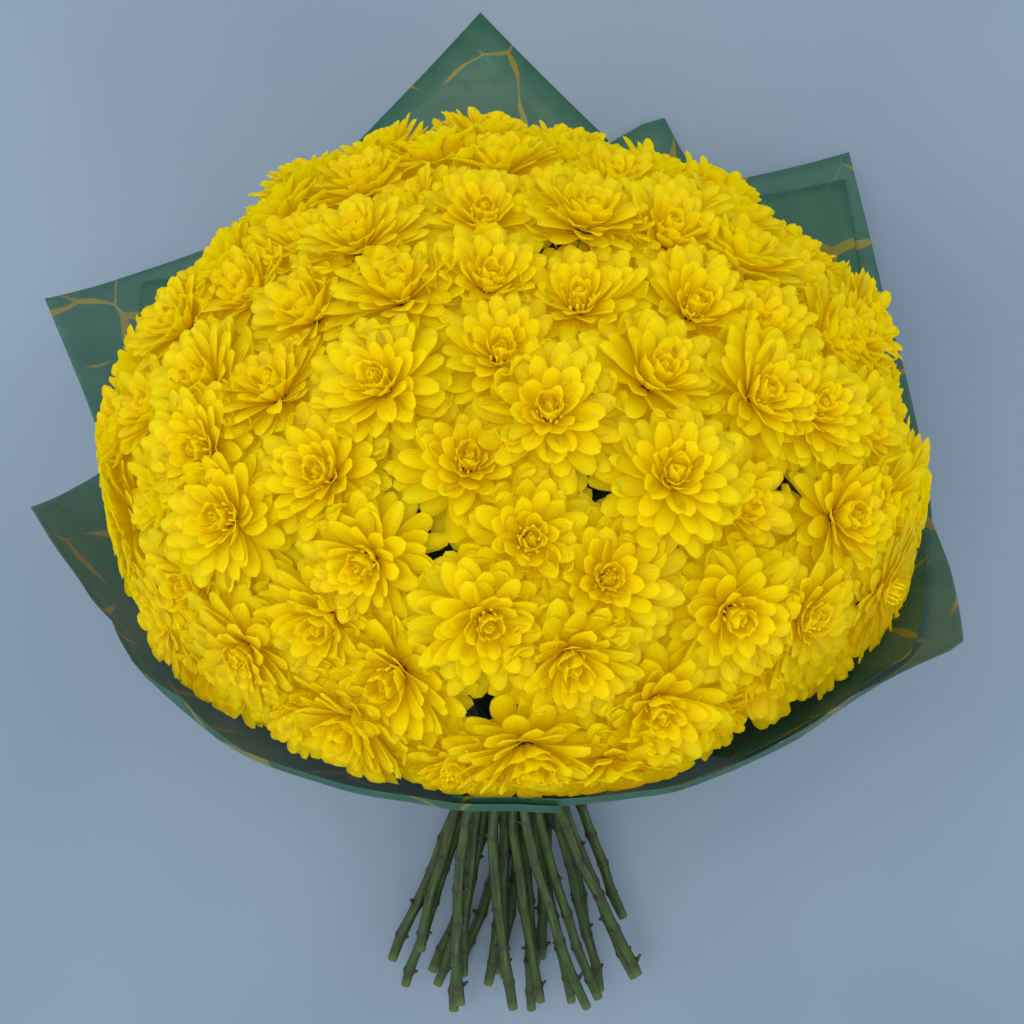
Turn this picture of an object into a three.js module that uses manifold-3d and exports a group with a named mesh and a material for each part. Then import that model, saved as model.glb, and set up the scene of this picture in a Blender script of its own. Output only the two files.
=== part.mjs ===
// Bouquet of yellow spray chrysanthemums, tied by hand and wrapped in film, lying on a table.
// Millimetres, +Z up. The cut stems point towards -Y, the dome of blooms leans up towards +Y.
// Everything is worked out from the binding point, where the stems cross and the ties sit.
import * as THREE from "three";
import { mergeVertices } from "three/addons/utils/BufferGeometryUtils.js";
import Module from "manifold-3d";

const wasm = await Module();
wasm.setup();

// Driving dimensions
const BINDING_HEIGHT = 94;        // binding point above the table
const DOME_ELEVATION = 36;        // degrees, slope of the dome's axis
const STEM_ELEVATION = 13.4;      // degrees, slope of the cut ends
const LEVEL_UNTIL = -80;          // the spine starts to rise here, along its length
const STRAIGHT_FROM = -14;        // and is straight from here to the crown
const NECK = 185;                 // from the binding point to the widest ring of blooms
const DOME_RADIUS = 200;          // bloom seats at the widest ring
const DOME_DEPTH = 148;           // bloom seats from the widest ring to the crown
const DOME_LIMIT = 99;            // degrees from the crown down to the lowest seats
const SEAT_JITTER = 6;            // how unevenly the blooms stand
const SEAT_SHIFT = [0.035, 0.05]; // radians, how far they stray down and round the dome

const STEM_COUNT = 25;
const BLOOM_COUNT = 125;
const STEM_RADIUS = 3.35;
const NODE_RADIUS = 3.8;          // swollen joints of the stems
const STEM_SIDES = 5;
const STEM_SPACING = 5;           // spiral constant of the bundle at the binding point
const STEM_TWIST = 0.17;          // degrees for each millimetre
const TWIST_UNTIL = 100;
const BINDING_PINCH = 0.14;       // how much the ties press the bundle together
const PINCH_LENGTH = 45;          // and how far along the stems that reaches
const SPREAD_ABOVE = 0.043;       // opening of the bundle towards the blooms
const SPREAD_ACROSS = 0.0185;     // and towards the cut ends, sideways
const SPREAD_UP = 0.003;          // and upwards
const CUT_LENGTH = 226;           // longest stem below the binding point
const CUT_TAPER = 42;             // how much shorter the stems at the sides are
const CUT_VARIATION = 44;         // and how unevenly they are cut
const INTERNODES = 6;             // between the cut end and the binding
const NODES_UNTIL = -42;
const WAIST = [-20, -5, 5, 13];   // places where the stems bend round the tie
const FORK_LOW = 108;             // where the outer stems fork into pedicels
const FORK_HIGH = 232;            // where the middle stems do
const PEDICEL_RADIUS = 1.3;
const FORK_SHARE = 0.42;          // part of the leading pedicel along which the others leave it
const CALYX_DEPTH = 8;            // where a pedicel ends inside its bloom, below the seat
const CALYX_ASIDE = 3;            // and towards the side it comes from

const BLOOM_RADIUS = 35;
const PETAL_TIPS = 6;             // tips in each of the two tiers of petals
const BLOOM_CLEARANCE = 12;       // blooms above the table
const BLOOM_GAP = 0.16;           // each bloom stays this far inside its own space
const BLOOM_LIFT = 14;            // how far a tip rises when it is pressed in completely
const SQUEEZE_STEP = 0.01;        // petals are pressed in until they fit
const SQUEEZE_LIMIT = 0.3;
const NEIGHBOUR_REACH = 84;       // seats nearer than this share a border

const FILM = 0.8;
const FILM_PITCH = 1.3;           // from one sheet to the next, at the binding point
const FILM_LOOSENING = [1.8, 1, 1, 1.1, 2, 2.4, 2.8]; // times the pitch, from the skirt to the rim
const FILM_REST = 3.2;            // from one sheet to the next where they rest on the table
const FILM_NECK = 29.2;           // radius of the innermost sheet at the binding point
const FILM_BEND_ALONG = 155;      // where the film's cone ends, along the dome's axis
const FILM_BEND_RADIUS = 213;
const FILM_MARGIN = 3;            // petals stay this far inside the innermost sheet
const FILM_GATHER = 11;           // half the length over which the film is gathered
const FILM_OPENING = 0.12;        // part of the cone where the sheets have left the gathered neck
const FILM_ROUNDING = 28;         // first fold beyond the cone
const FILM_LEAST_RIM = 8;         // shortest strip beyond the cone
const FILM_COLUMN = 18;           // degrees, widest facet of the film
const SKIRT_LENGTH = 44;          // film below the binding point
const SKIRT_RADIUS = 46;
const SEAM_GAP = 0.3;             // between pieces that touch
const TIE_ROOM = 0.9;             // the stems already open a little within the width of the tie
const TWINE = { thickness: 2, width: 6 };
const RIBBON = { thickness: 1, width: 10 };

const GOLDEN_ANGLE = Math.PI * (3 - Math.sqrt(5));
const RIGHT = new THREE.Vector3(1, 0, 0);
const UP = new THREE.Vector3(0, 1, 0); // axis of the lathe and cylinder geometries

const rad = THREE.MathUtils.degToRad;
const { clamp, lerp, smoothstep } = THREE.MathUtils;

// A repeatable scatter between -1 and 1 for item i, different for each channel
function scatter(i, channel) {
  const x = (i + 1) * (0.6180339887 + 0.1370123 * channel) + 0.317 * channel;
  return 2 * (x - Math.floor(x)) - 1;
}

// Spine of the bouquet: s runs from the cut ends (negative) through the binding point to the crown

function spineElevation(s) {
  return rad(lerp(STEM_ELEVATION, DOME_ELEVATION, smoothstep(s, LEVEL_UNTIL, STRAIGHT_FROM)));
}

function spineDirection(s) {
  const elevation = spineElevation(s);
  return new THREE.Vector3(0, Math.cos(elevation), Math.sin(elevation));
}

function spineUp(s) {
  const elevation = spineElevation(s);
  return new THREE.Vector3(0, -Math.sin(elevation), Math.cos(elevation));
}

function spinePoint(s) {
  const straight = Math.max(s, STRAIGHT_FROM);
  const point = new THREE.Vector3(0, 0, BINDING_HEIGHT).addScaledVector(spineDirection(0), straight);
  const rest = s - straight;
  const steps = 24;
  for (let i = 0; i < steps; i++) {
    const between = straight + (rest * (i + 0.5)) / steps;
    point.addScaledVector(spineDirection(between), rest / steps);
  }
  return point;
}

// The point at distance x to the right and y upwards from the spine
function aroundSpine(s, x, y) {
  return spinePoint(s).addScaledVector(RIGHT, x).addScaledVector(spineUp(s), y);
}

// Solids: a geometry with shared vertices merged, and its joins

function mergedSolid(geometry) {
  const bare = geometry.clone();
  for (const name of Object.keys(bare.attributes)) if (name !== "position") bare.deleteAttribute(name);
  const merged = mergeVertices(bare, 1e-4);
  const index = merged.index.array;
  const kept = [];
  for (let i = 0; i < index.length; i += 3) {
    const [a, b, c] = [index[i], index[i + 1], index[i + 2]];
    if (a !== b && b !== c && c !== a) kept.push(a, b, c);
  }
  merged.setIndex(kept);
  return merged;
}

function toManifold(geometry) {
  const merged = mergedSolid(geometry);
  const vertProperties = new Float32Array(merged.attributes.position.array);
  const triVerts = new Uint32Array(merged.index.array);
  return new wasm.Manifold(new wasm.Mesh({ numProp: 3, vertProperties, triVerts }));
}

function fromManifold(manifold) {
  const { vertProperties, triVerts } = manifold.getMesh();
  const geometry = new THREE.BufferGeometry();
  geometry.setAttribute("position", new THREE.BufferAttribute(new Float32Array(vertProperties), 3));
  geometry.setIndex(new THREE.BufferAttribute(new Uint32Array(triVerts), 1));
  return geometry;
}

// A straight rod between two points
function rod(start, end, radiusStart, radiusEnd, sides) {
  const along = end.clone().sub(start);
  const geometry = new THREE.CylinderGeometry(radiusEnd, radiusStart, along.length(), sides, 1);
  geometry.applyQuaternion(new THREE.Quaternion().setFromUnitVectors(UP, along.clone().normalize()));
  const middle = start.clone().add(end).multiplyScalar(0.5);
  return geometry.translate(middle.x, middle.y, middle.z);
}

// Stems: a spiral pattern at the binding point that opens towards both ends without crossing

function stemSpread(s) {
  const tight = 1 - BINDING_PINCH * (1 - smoothstep(Math.abs(s), 0, PINCH_LENGTH));
  const above = tight * Math.hypot(1, SPREAD_ABOVE * s);
  if (s >= 0) return { across: above, up: above };
  return { across: tight * Math.hypot(1, SPREAD_ACROSS * s), up: tight * Math.hypot(1, SPREAD_UP * s) };
}

function stemTwist(s) {
  return rad(STEM_TWIST * clamp(s, -CUT_LENGTH, TWIST_UNTIL));
}

function bundleRadius(i) {
  return STEM_SPACING * Math.sqrt(i + 0.5);
}

function stemPoint(i, s) {
  const angle = i * GOLDEN_ANGLE + stemTwist(s);
  const spread = stemSpread(s);
  const r = bundleRadius(i);
  return aroundSpine(s, spread.across * r * Math.cos(angle), spread.up * r * Math.sin(angle));
}

function forkDistance(i) {
  const outward = (i + 0.5) / STEM_COUNT;
  return lerp(FORK_HIGH, FORK_LOW, outward);
}

function cutDistance(i) {
  const sideways = Math.cos(i * GOLDEN_ANGLE + stemTwist(-CUT_LENGTH)) * Math.sqrt((i + 0.5) / STEM_COUNT);
  return -CUT_LENGTH + CUT_TAPER * sideways ** 2 + CUT_VARIATION * (0.5 + 0.5 * scatter(i, 1)) ** 2;
}

function stemGeometry(i) {
  const stations = [];
  for (let j = 0; j <= INTERNODES; j++) {
    const s = lerp(cutDistance(i), NODES_UNTIL, j / INTERNODES);
    stations.push({ s, r: j % 2 === i % 2 || j === 0 ? STEM_RADIUS : NODE_RADIUS });
  }
  for (const s of WAIST) stations.push({ s, r: STEM_RADIUS });
  stations.push({ s: forkDistance(i), r: STEM_RADIUS });

  const geometry = new THREE.CylinderGeometry(1, 1, 1, STEM_SIDES, stations.length - 1);
  bendAlong(geometry, stations, (s) => stemPoint(i, s));
  return geometry;
}

// Bends an upright unit cylinder so that its rings sit at the stations of a path
function bendAlong(geometry, stations, path) {
  const position = geometry.attributes.position;
  const point = new THREE.Vector3();
  for (let v = 0; v < position.count; v++) {
    point.fromBufferAttribute(position, v);
    const station = stations[Math.round((point.y + 0.5) * (stations.length - 1))];
    const centre = path(station.s);
    const forward = path(station.s + 1).sub(path(station.s - 1)).normalize();
    const side = new THREE.Vector3().crossVectors(forward, new THREE.Vector3(0, 0, 1)).normalize();
    const upward = new THREE.Vector3().crossVectors(side, forward);
    centre.addScaledVector(side, point.x * station.r).addScaledVector(upward, point.z * station.r);
    position.setXYZ(v, centre.x, centre.y, centre.z);
  }
}

// Bloom seats: a sunflower spiral of equal areas over the dome

function domeAngle(fraction) {
  const steps = 240;
  const areas = [0];
  for (let i = 1; i <= steps; i++) {
    const angle = (rad(DOME_LIMIT) * (i - 0.5)) / steps;
    const slant = Math.hypot(DOME_RADIUS * Math.cos(angle), DOME_DEPTH * Math.sin(angle));
    areas.push(areas[i - 1] + Math.sin(angle) * slant);
  }
  const wanted = fraction * areas[steps];
  const i = areas.findIndex((area) => area >= wanted);
  return (rad(DOME_LIMIT) * i) / steps;
}

function makeSeat(k) {
  const fraction = (k + 0.5) / BLOOM_COUNT;
  const polar = domeAngle(fraction) + SEAT_SHIFT[0] * scatter(k, 2);
  const turn = k * GOLDEN_ANGLE + (SEAT_SHIFT[1] * scatter(k, 3)) / Math.sin(polar);
  const jitter = SEAT_JITTER * scatter(k, 4);
  const r = DOME_RADIUS * Math.sin(polar);
  const s = NECK + DOME_DEPTH * Math.cos(polar);
  const point = aroundSpine(s, r * Math.cos(turn), r * Math.sin(turn));
  const ahead = aroundSpine(
    s + DOME_RADIUS * Math.cos(polar),
    (r + DOME_DEPTH * Math.sin(polar)) * Math.cos(turn),
    (r + DOME_DEPTH * Math.sin(polar)) * Math.sin(turn),
  );
  const facing = ahead.sub(point).normalize();
  point.addScaledVector(facing, polar > rad(75) ? Math.min(jitter, 0) : jitter);
  const flat = new THREE.Vector2(Math.cos(turn), Math.sin(turn)).multiplyScalar(Math.sqrt(fraction));
  return { point, facing, flat, index: k };
}

const seats = Array.from({ length: BLOOM_COUNT }, (_, k) => makeSeat(k));
for (const seat of seats) {
  const near = (other) => other.point.distanceTo(seat.point) < NEIGHBOUR_REACH;
  seat.neighbours = seats.filter((other) => other !== seat && near(other));
}

// A point of a bloom must stay on its own side of every neighbour, above the table, in the film
function insideSpace(point, seat) {
  for (const other of seat.neighbours) {
    const across = other.point.clone().sub(seat.point);
    const distance = across.length();
    const reach = point.clone().sub(seat.point).dot(across) / distance;
    if (reach > distance / 2 - BLOOM_GAP) return false;
  }
  if (point.z < BLOOM_CLEARANCE) return false;
  const offset = point.clone().sub(spinePoint(NECK));
  const along = NECK + offset.dot(spineDirection(NECK));
  const radius = Math.hypot(offset.x, offset.dot(spineUp(NECK)));
  const slope = (FILM_BEND_RADIUS - FILM_NECK) / FILM_BEND_ALONG;
  return radius < Math.min(FILM_BEND_RADIUS, FILM_NECK + slope * along) - FILM_MARGIN;
}

// Bloom: two tiers of petals on a small core, tips over notches. Each row is [radius, height]
// for a column through a lower tip, and for a column through an upper tip.
const BLOOM_ROWS = [
  { lower: [0, -16], upper: [0, -16] },
  { lower: [35, 0], upper: [26, -4] },
  { lower: [24, 3], upper: [20, 1] },
  { lower: [19, 6], upper: [27, 9] },
  { lower: [0, 6], upper: [0, 6] },
];

function bloomGeometry(seat) {
  const columns = 2 * PETAL_TIPS;
  const profile = BLOOM_ROWS.map((row) => new THREE.Vector2(row.lower[0], row.lower[1]));
  const geometry = new THREE.LatheGeometry(profile, columns);
  const turn = new THREE.Quaternion().setFromUnitVectors(UP, seat.facing);
  const start = Math.PI * scatter(seat.index, 5);

  const columnPoint = (column, row, squeeze) => {
    const [radius, height] = column % 2 ? BLOOM_ROWS[row].upper : BLOOM_ROWS[row].lower;
    const angle = start + (2 * Math.PI * column) / columns;
    const lift = BLOOM_LIFT * (1 - squeeze) * (radius / BLOOM_RADIUS) ** 2;
    const point = new THREE.Vector3(Math.sin(angle), 0, Math.cos(angle)).multiplyScalar(radius * squeeze);
    point.y = height + lift;
    return point.applyQuaternion(turn).add(seat.point);
  };

  const position = geometry.attributes.position;
  for (let column = 0; column <= columns; column++) {
    const wrapped = column % columns;
    const columnPoints = (squeeze) => BLOOM_ROWS.map((_, row) => columnPoint(wrapped, row, squeeze));
    const fits = (squeeze) => columnPoints(squeeze).every((point) => insideSpace(point, seat));
    let squeeze = 1;
    while (squeeze > SQUEEZE_LIMIT && !fits(squeeze)) squeeze -= SQUEEZE_STEP;
    columnPoints(squeeze).forEach((point, row) => {
      position.setXYZ(column * BLOOM_ROWS.length + row, point.x, point.y, point.z);
    });
  }
  return geometry;
}

// Spray: the blooms nearest to a stem. The straightest pedicel leads on from the stem, and the
// others leave it one after the other.

function sprayOf(seat) {
  let best = 0;
  let bestDistance = Infinity;
  for (let i = 0; i < STEM_COUNT; i++) {
    const angle = i * GOLDEN_ANGLE + stemTwist(forkDistance(i));
    const outward = Math.sqrt((i + 0.5) / STEM_COUNT);
    const place = new THREE.Vector2(Math.cos(angle), Math.sin(angle)).multiplyScalar(outward);
    const distance = seat.flat.distanceTo(place);
    if (distance < bestDistance) [best, bestDistance] = [i, distance];
  }
  return best;
}

function underside(seat, from) {
  const sideways = from.clone().sub(seat.point).projectOnPlane(seat.facing).normalize();
  const calyx = seat.point.clone().addScaledVector(seat.facing, -CALYX_DEPTH);
  return calyx.addScaledVector(sideways, CALYX_ASIDE);
}

function sprayGeometry(i) {
  const top = forkDistance(i);
  const forward = stemPoint(i, top + 1).sub(stemPoint(i, top - 1)).normalize();
  const foot = stemPoint(i, top).addScaledVector(forward, SEAM_GAP);
  const own = seats.filter((seat) => seat.stem === i);
  const straightness = (seat) => seat.point.clone().sub(foot).normalize().dot(forward);
  own.sort((a, b) => straightness(b) - straightness(a));

  const leaderEnd = underside(own[0], foot);
  const lean = leaderEnd.clone().sub(foot).angleTo(forward);
  foot.addScaledVector(forward, STEM_RADIUS * Math.tan(lean));
  let spray = toManifold(rod(foot, leaderEnd, STEM_RADIUS, PEDICEL_RADIUS, STEM_SIDES));
  own.forEach((seat, j) => {
    const fork = foot.clone().lerp(leaderEnd, (FORK_SHARE * j) / own.length);
    const pedicel = rod(fork, underside(seat, fork), PEDICEL_RADIUS, PEDICEL_RADIUS, 3);
    if (j > 0) spray = spray.add(toManifold(pedicel));
    spray = spray.add(toManifold(bloomGeometry(seat)));
  });
  return fromManifold(spray);
}

// Film: every sheet follows one wrap round the dome. A corner is [degrees round the dome's axis,
// distance from the binding point along the film]; 0 is to the right, 90 faces away from the table.
const SHEETS = [
  {
    name: "wrap_inner_sheet",
    layer: 0,
    corners: [
      [-157, 261], [-145, 308], [-112, 275], [-60, 310], [-47, 350], [-30, 274], [3, 243], [37, 259],
      [62, 246],
    ],
  },
  {
    name: "wrap_outer_sheet",
    layer: 1,
    corners: [
      [-177, 252], [-157, 332], [-130, 303], [-94, 290], [-60, 329], [-47, 366], [-30, 292], [3, 246],
      [29, 273], [37, 292], [50, 260], [62, 261], [85, 248], [97, 249],
    ],
  },
  {
    name: "wrap_front_sheet",
    layer: 2,
    corners: [
      [85, 248], [97, 251], [115, 246], [132, 252], [151, 253], [169, 285], [183, 253], [203, 239],
    ],
  },
  {
    name: "wrap_side_sheet",
    layer: 2,
    corners: [[-94, 298], [-77, 343], [-71, 356], [-47, 268]],
  },
  {
    name: "wrap_back_sheet",
    layer: 3,
    corners: [[-130, 278], [-112, 339], [-94, 415], [-77, 338], [-60, 283]],
  },
];

const OUTERMOST = Math.max(...SHEETS.map((sheet) => sheet.layer));

// How steeply the film leaves the dome's axis beyond the widest ring, by place round the dome
const FLARE = [
  [-180, 50], [-150, 54], [-120, 46], [-105, 44], [-75, 44], [-60, 46], [-30, 50], [0, 48], [29, 46],
  [37, 44], [50, 22], [62, 18], [75, 8], [90, 4], [135, 4], [151, 12], [169, 36], [183, 50], [210, 54],
];

function interpolate(table, x) {
  const i = clamp(table.findIndex(([key]) => key > x), 1, table.length - 1);
  const [[x0, y0], [x1, y1]] = [table[i - 1], table[i]];
  return lerp(y0, y1, clamp((x - x0) / (x1 - x0), 0, 1));
}

// The sheet's edge between two corners is straight while the sheet lies flat
function rimDistance(corners, degrees) {
  const i = clamp(corners.findIndex(([key]) => key >= degrees), 1, corners.length - 1);
  const [[a0, d0], [a1, d1]] = [corners[i - 1], corners[i]];
  const flat = Math.sin(Math.atan2(FILM_BEND_RADIUS - FILM_NECK, FILM_BEND_ALONG));
  const whole = rad(a1 - a0) * flat;
  const part = clamp(rad(degrees - a0) * flat, 0, whole);
  return Math.sin(whole) / (Math.sin(whole - part) / d0 + Math.sin(part) / d1);
}

// Section of the wrap at one place round the dome, from the skirt to the rim, as (along, radius)
function filmSection(degrees, rim) {
  const coneLength = Math.hypot(FILM_BEND_ALONG, FILM_BEND_RADIUS - FILM_NECK);
  const bend = Math.min(1, (rim - FILM_LEAST_RIM) / coneLength);
  const flare = rad(interpolate(FLARE, degrees));
  const onCone = (t) => new THREE.Vector2(FILM_BEND_ALONG * t, lerp(FILM_NECK, FILM_BEND_RADIUS, t));
  const section = [
    new THREE.Vector2(-SKIRT_LENGTH, SKIRT_RADIUS),
    new THREE.Vector2(-FILM_GATHER, FILM_NECK),
    new THREE.Vector2(FILM_GATHER, FILM_NECK),
    onCone(FILM_OPENING),
    onCone(bend),
  ];
  const beyond = rim - bend * coneLength;
  for (const length of [Math.min(FILM_ROUNDING, beyond / 2), beyond]) {
    const step = new THREE.Vector2(Math.cos(flare), Math.sin(flare)).multiplyScalar(length);
    section.push(onCone(bend).add(step));
  }
  return section;
}

function sectionOutward(section, j) {
  const before = section[Math.max(j - 1, 0)];
  const after = section[Math.min(j + 1, section.length - 1)];
  const tangent = after.clone().sub(before).normalize();
  return new THREE.Vector2(-tangent.y, tangent.x);
}

const CORNER_PLACES = SHEETS.flatMap((sheet) => sheet.corners.map(([degrees]) => degrees));

// Places round the dome where the film is folded: all the corners, and between them others
function filmColumns(first, last) {
  const unwrapped = CORNER_PLACES.flatMap((degrees) => [degrees - 360, degrees, degrees + 360]);
  const sorted = unwrapped.filter((degrees) => degrees >= first && degrees <= last).sort((a, b) => a - b);
  const columns = [first];
  for (const degrees of [...sorted, last]) {
    const from = columns[columns.length - 1];
    const gap = degrees - from;
    if (gap < 0.5) continue;
    const parts = Math.ceil(gap / FILM_COLUMN);
    for (let part = 1; part <= parts; part++) columns.push(from + (gap * part) / parts);
  }
  return columns;
}

// Splits the quads of a box's last side along their other diagonal, so that both sides fold alike
function matchDiagonals(geometry) {
  const { start, count } = geometry.groups[5];
  const index = geometry.index.array;
  for (let i = start; i < start + count; i += 6) {
    const [a, b, d, , c] = index.slice(i, i + 6);
    index.set([a, b, c, a, c, d], i);
  }
}

function filmGeometry({ corners, layer }) {
  const columns = filmColumns(corners[0][0], corners[corners.length - 1][0]);
  const rows = FILM_LOOSENING.length;
  const geometry = new THREE.BoxGeometry(1, 1, 1, columns.length - 1, rows - 1, 1);
  matchDiagonals(geometry);
  const position = geometry.attributes.position;
  const point = new THREE.Vector3();
  for (let v = 0; v < position.count; v++) {
    point.fromBufferAttribute(position, v);
    const degrees = columns[Math.round((point.x + 0.5) * (columns.length - 1))];
    const row = Math.round((point.y + 0.5) * (rows - 1));
    const section = filmSection(degrees, rimDistance(corners, degrees));
    const pitch = FILM_PITCH * FILM_LOOSENING[row];
    const outside = point.z < 0;
    const face = outside ? FILM / 2 : -FILM / 2;
    const place = section[row].clone().addScaledVector(sectionOutward(section, row), layer * pitch + face);
    const angle = rad(degrees);
    const placed = aroundSpine(place.x, place.y * Math.cos(angle), place.y * Math.sin(angle));
    const lowest = (OUTERMOST - layer) * FILM_REST + (outside ? 0 : FILM);
    position.setXYZ(v, placed.x, placed.y, Math.max(placed.z, lowest));
  }
  return geometry;
}

// Ties: closed bands round the bundle at the binding point

function bandGeometry(clearRadius, { thickness, width }) {
  const sides = 18;
  const innerRadius = clearRadius / Math.cos(Math.PI / sides);
  const outerRadius = innerRadius + thickness;
  const profile = [
    [innerRadius, -width / 2], [outerRadius, -width / 2], [outerRadius, width / 2], [innerRadius, width / 2],
    [innerRadius, -width / 2],
  ].map(([radius, height]) => new THREE.Vector2(radius, height));
  const geometry = new THREE.LatheGeometry(profile, sides);
  const turn = new THREE.Quaternion().setFromUnitVectors(UP, spineDirection(0));
  return geometry.applyQuaternion(turn).translate(0, 0, BINDING_HEIGHT);
}

// Materials

const MATERIALS = {
  petals: new THREE.MeshStandardMaterial({ color: "#e6c800", roughness: 0.7, metalness: 0 }),
  stem: new THREE.MeshStandardMaterial({ color: "#44632a", roughness: 0.65, metalness: 0 }),
  film: new THREE.MeshStandardMaterial({ color: "#5f8f82", roughness: 0.3, metalness: 0 }),
  twine: new THREE.MeshStandardMaterial({ color: "#a58a5c", roughness: 0.9, metalness: 0 }),
  ribbon: new THREE.MeshStandardMaterial({ color: "#3f6a58", roughness: 0.4, metalness: 0 }),
};

// Assembly

const bouquet = new THREE.Group();

function addPiece(name, geometry, material) {
  const mesh = new THREE.Mesh(mergedSolid(geometry), material.clone());
  mesh.name = name;
  bouquet.add(mesh);
  return mesh;
}

for (const seat of seats) seat.stem = sprayOf(seat);

for (let i = 0; i < STEM_COUNT; i++) {
  const number = String(i + 1).padStart(2, "0");
  addPiece(`stem_${number}`, stemGeometry(i), MATERIALS.stem);
  addPiece(`spray_${number}`, sprayGeometry(i), MATERIALS.petals);
}

for (const sheet of SHEETS) addPiece(sheet.name, filmGeometry(sheet), MATERIALS.film);

const bundle = bundleRadius(STEM_COUNT - 1) * (1 - BINDING_PINCH) + STEM_RADIUS;
const filmOutside = FILM_NECK + OUTERMOST * FILM_PITCH + FILM / 2;
addPiece("stem_tie", bandGeometry(bundle + TIE_ROOM, TWINE), MATERIALS.twine);
addPiece("wrap_tie", bandGeometry(filmOutside + SEAM_GAP, RIBBON), MATERIALS.ribbon);

// The origin is on the table, under the middle of the bouquet
const box = new THREE.Box3().setFromObject(bouquet);
const middle = box.getCenter(new THREE.Vector3());
bouquet.position.set(-middle.x, -middle.y, -box.min.z);

export default bouquet;
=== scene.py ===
# %% [markdown]
# # A hand-tied bouquet of yellow spray chrysanthemums
#
# The bouquet lies on a pale table and is seen from straight above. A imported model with 25 stems,
# 25 sprays of blooms, five sheets of film and two ties is already there, with plain faceted solids.
# This lesson gives each of them its real surface: thin petals, jointed stems, gathered film with
# gold veins, twine and ribbon. Every piece is measured in millimetres from the point where the
# stems cross, as the solids are, and made in metres.

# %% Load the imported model
import math

import bmesh
import bpy
import numpy as np
from mathutils import Matrix, Vector


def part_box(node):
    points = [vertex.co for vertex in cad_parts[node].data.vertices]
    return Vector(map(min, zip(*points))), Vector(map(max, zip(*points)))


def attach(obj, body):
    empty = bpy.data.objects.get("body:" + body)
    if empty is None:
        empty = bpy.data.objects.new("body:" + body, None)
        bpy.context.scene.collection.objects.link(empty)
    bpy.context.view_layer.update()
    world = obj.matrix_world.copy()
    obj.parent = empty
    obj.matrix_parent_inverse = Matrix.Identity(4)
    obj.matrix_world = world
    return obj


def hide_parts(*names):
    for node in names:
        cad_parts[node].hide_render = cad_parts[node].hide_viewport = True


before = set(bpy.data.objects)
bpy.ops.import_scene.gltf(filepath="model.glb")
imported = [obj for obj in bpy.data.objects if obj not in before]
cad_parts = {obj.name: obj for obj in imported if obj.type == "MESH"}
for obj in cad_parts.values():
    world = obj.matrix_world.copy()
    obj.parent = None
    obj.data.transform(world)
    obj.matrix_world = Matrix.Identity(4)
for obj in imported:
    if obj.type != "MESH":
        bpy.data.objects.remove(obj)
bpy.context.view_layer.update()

MM = 0.001
low, high = (np.array(corner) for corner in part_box("stem_tie"))
BINDING = (low + high) / 2 / MM  # the binding point, in millimetres
print("binding point", BINDING.round(1), "mm; nodes", len(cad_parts))

# %% [markdown]
# ## Camera
#
# The photograph was taken from about a metre above the table with a moderately long lens. Looking
# from straight above the middle of the dome, tilted two degrees, gives the same outline. The
# picture is shown with the plain Standard view, because it keeps a strong yellow as it is.

# %% Place the camera
DOME_SLOPE = 36.0       # degrees, the dome's axis leans up from the table
NECK = 185.0            # along that axis, from the binding point to the widest ring of blooms
CAMERA_RISE = 800.0     # above the middle of the widest ring
CAMERA_TILT = 2.28      # degrees
FOCAL_PIXELS = 1535.0
IMAGE_PIXELS = 1024.0
SENSOR = 36.0

slope = math.radians(DOME_SLOPE)
dome_middle = BINDING + NECK * np.array([0, math.cos(slope), math.sin(slope)])
camera_data = bpy.data.cameras.new("camera")
camera_data.sensor_width = SENSOR
camera_data.lens = SENSOR * FOCAL_PIXELS / IMAGE_PIXELS
bpy.context.scene.view_settings.view_transform = "Standard"
camera = bpy.data.objects.new("camera", camera_data)
camera.location = (dome_middle + [-1.0, 0, CAMERA_RISE]) * MM
camera.rotation_euler = (-math.radians(CAMERA_TILT), 0, 0)
bpy.context.scene.collection.objects.link(camera)
bpy.context.scene.camera = camera
print("camera at", [round(v, 3) for v in camera.location], "lens", round(camera_data.lens, 1))

# %% [markdown]
# ## Helpers
#
# A material is a small graph of nodes. One function adds any node, sets its settings and joins its
# inputs, so that each material below reads as a list of what it is made of. Colours are written
# as the sRGB hex values that a colour picker shows, and are turned to linear light here.

# %% Helpers for materials and meshes
def linear(hex_colour):
    """The linear RGBA of an sRGB hex colour."""
    channels = [int(hex_colour[i:i + 2], 16) / 255 for i in (1, 3, 5)]
    curve = [c / 12.92 if c <= 0.04045 else ((c + 0.055) / 1.055) ** 2.4 for c in channels]
    return (*curve, 1.0)


def add_node(tree, kind, inputs=None, **settings):
    """Adds a node, with its settings, its input values and its links."""
    node = tree.nodes.new(kind)
    for name, value in settings.items():
        setattr(node, name, value)
    for name, value in (inputs or {}).items():
        if isinstance(value, bpy.types.NodeSocket):
            tree.links.new(value, node.inputs[name])
        else:
            node.inputs[name].default_value = value
    return node


def add_ramp(tree, factor, stops):
    """A colour that follows a factor, through stops of a position and a hex colour."""
    node = add_node(tree, "ShaderNodeValToRGB", {"Fac": factor})
    elements = node.color_ramp.elements
    while len(elements) < len(stops):
        elements.new(0.5)
    for element, (position, colour) in zip(elements, stops):
        element.position = position
        element.color = linear(colour)
    return node.outputs["Color"]


def mix_colours(tree, factor, first, second):
    """The colour between two others, by a factor."""
    mix = add_node(tree, "ShaderNodeMix", {"Factor": factor, "A": first, "B": second}, data_type="RGBA")
    return mix.outputs["Result"]


def add_bump(tree, height, strength, depth):
    """A surface roughened by a height, over a depth in metres."""
    bump = add_node(tree, "ShaderNodeBump", {"Height": height, "Strength": strength, "Distance": depth})
    return bump.outputs["Normal"]


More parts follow.
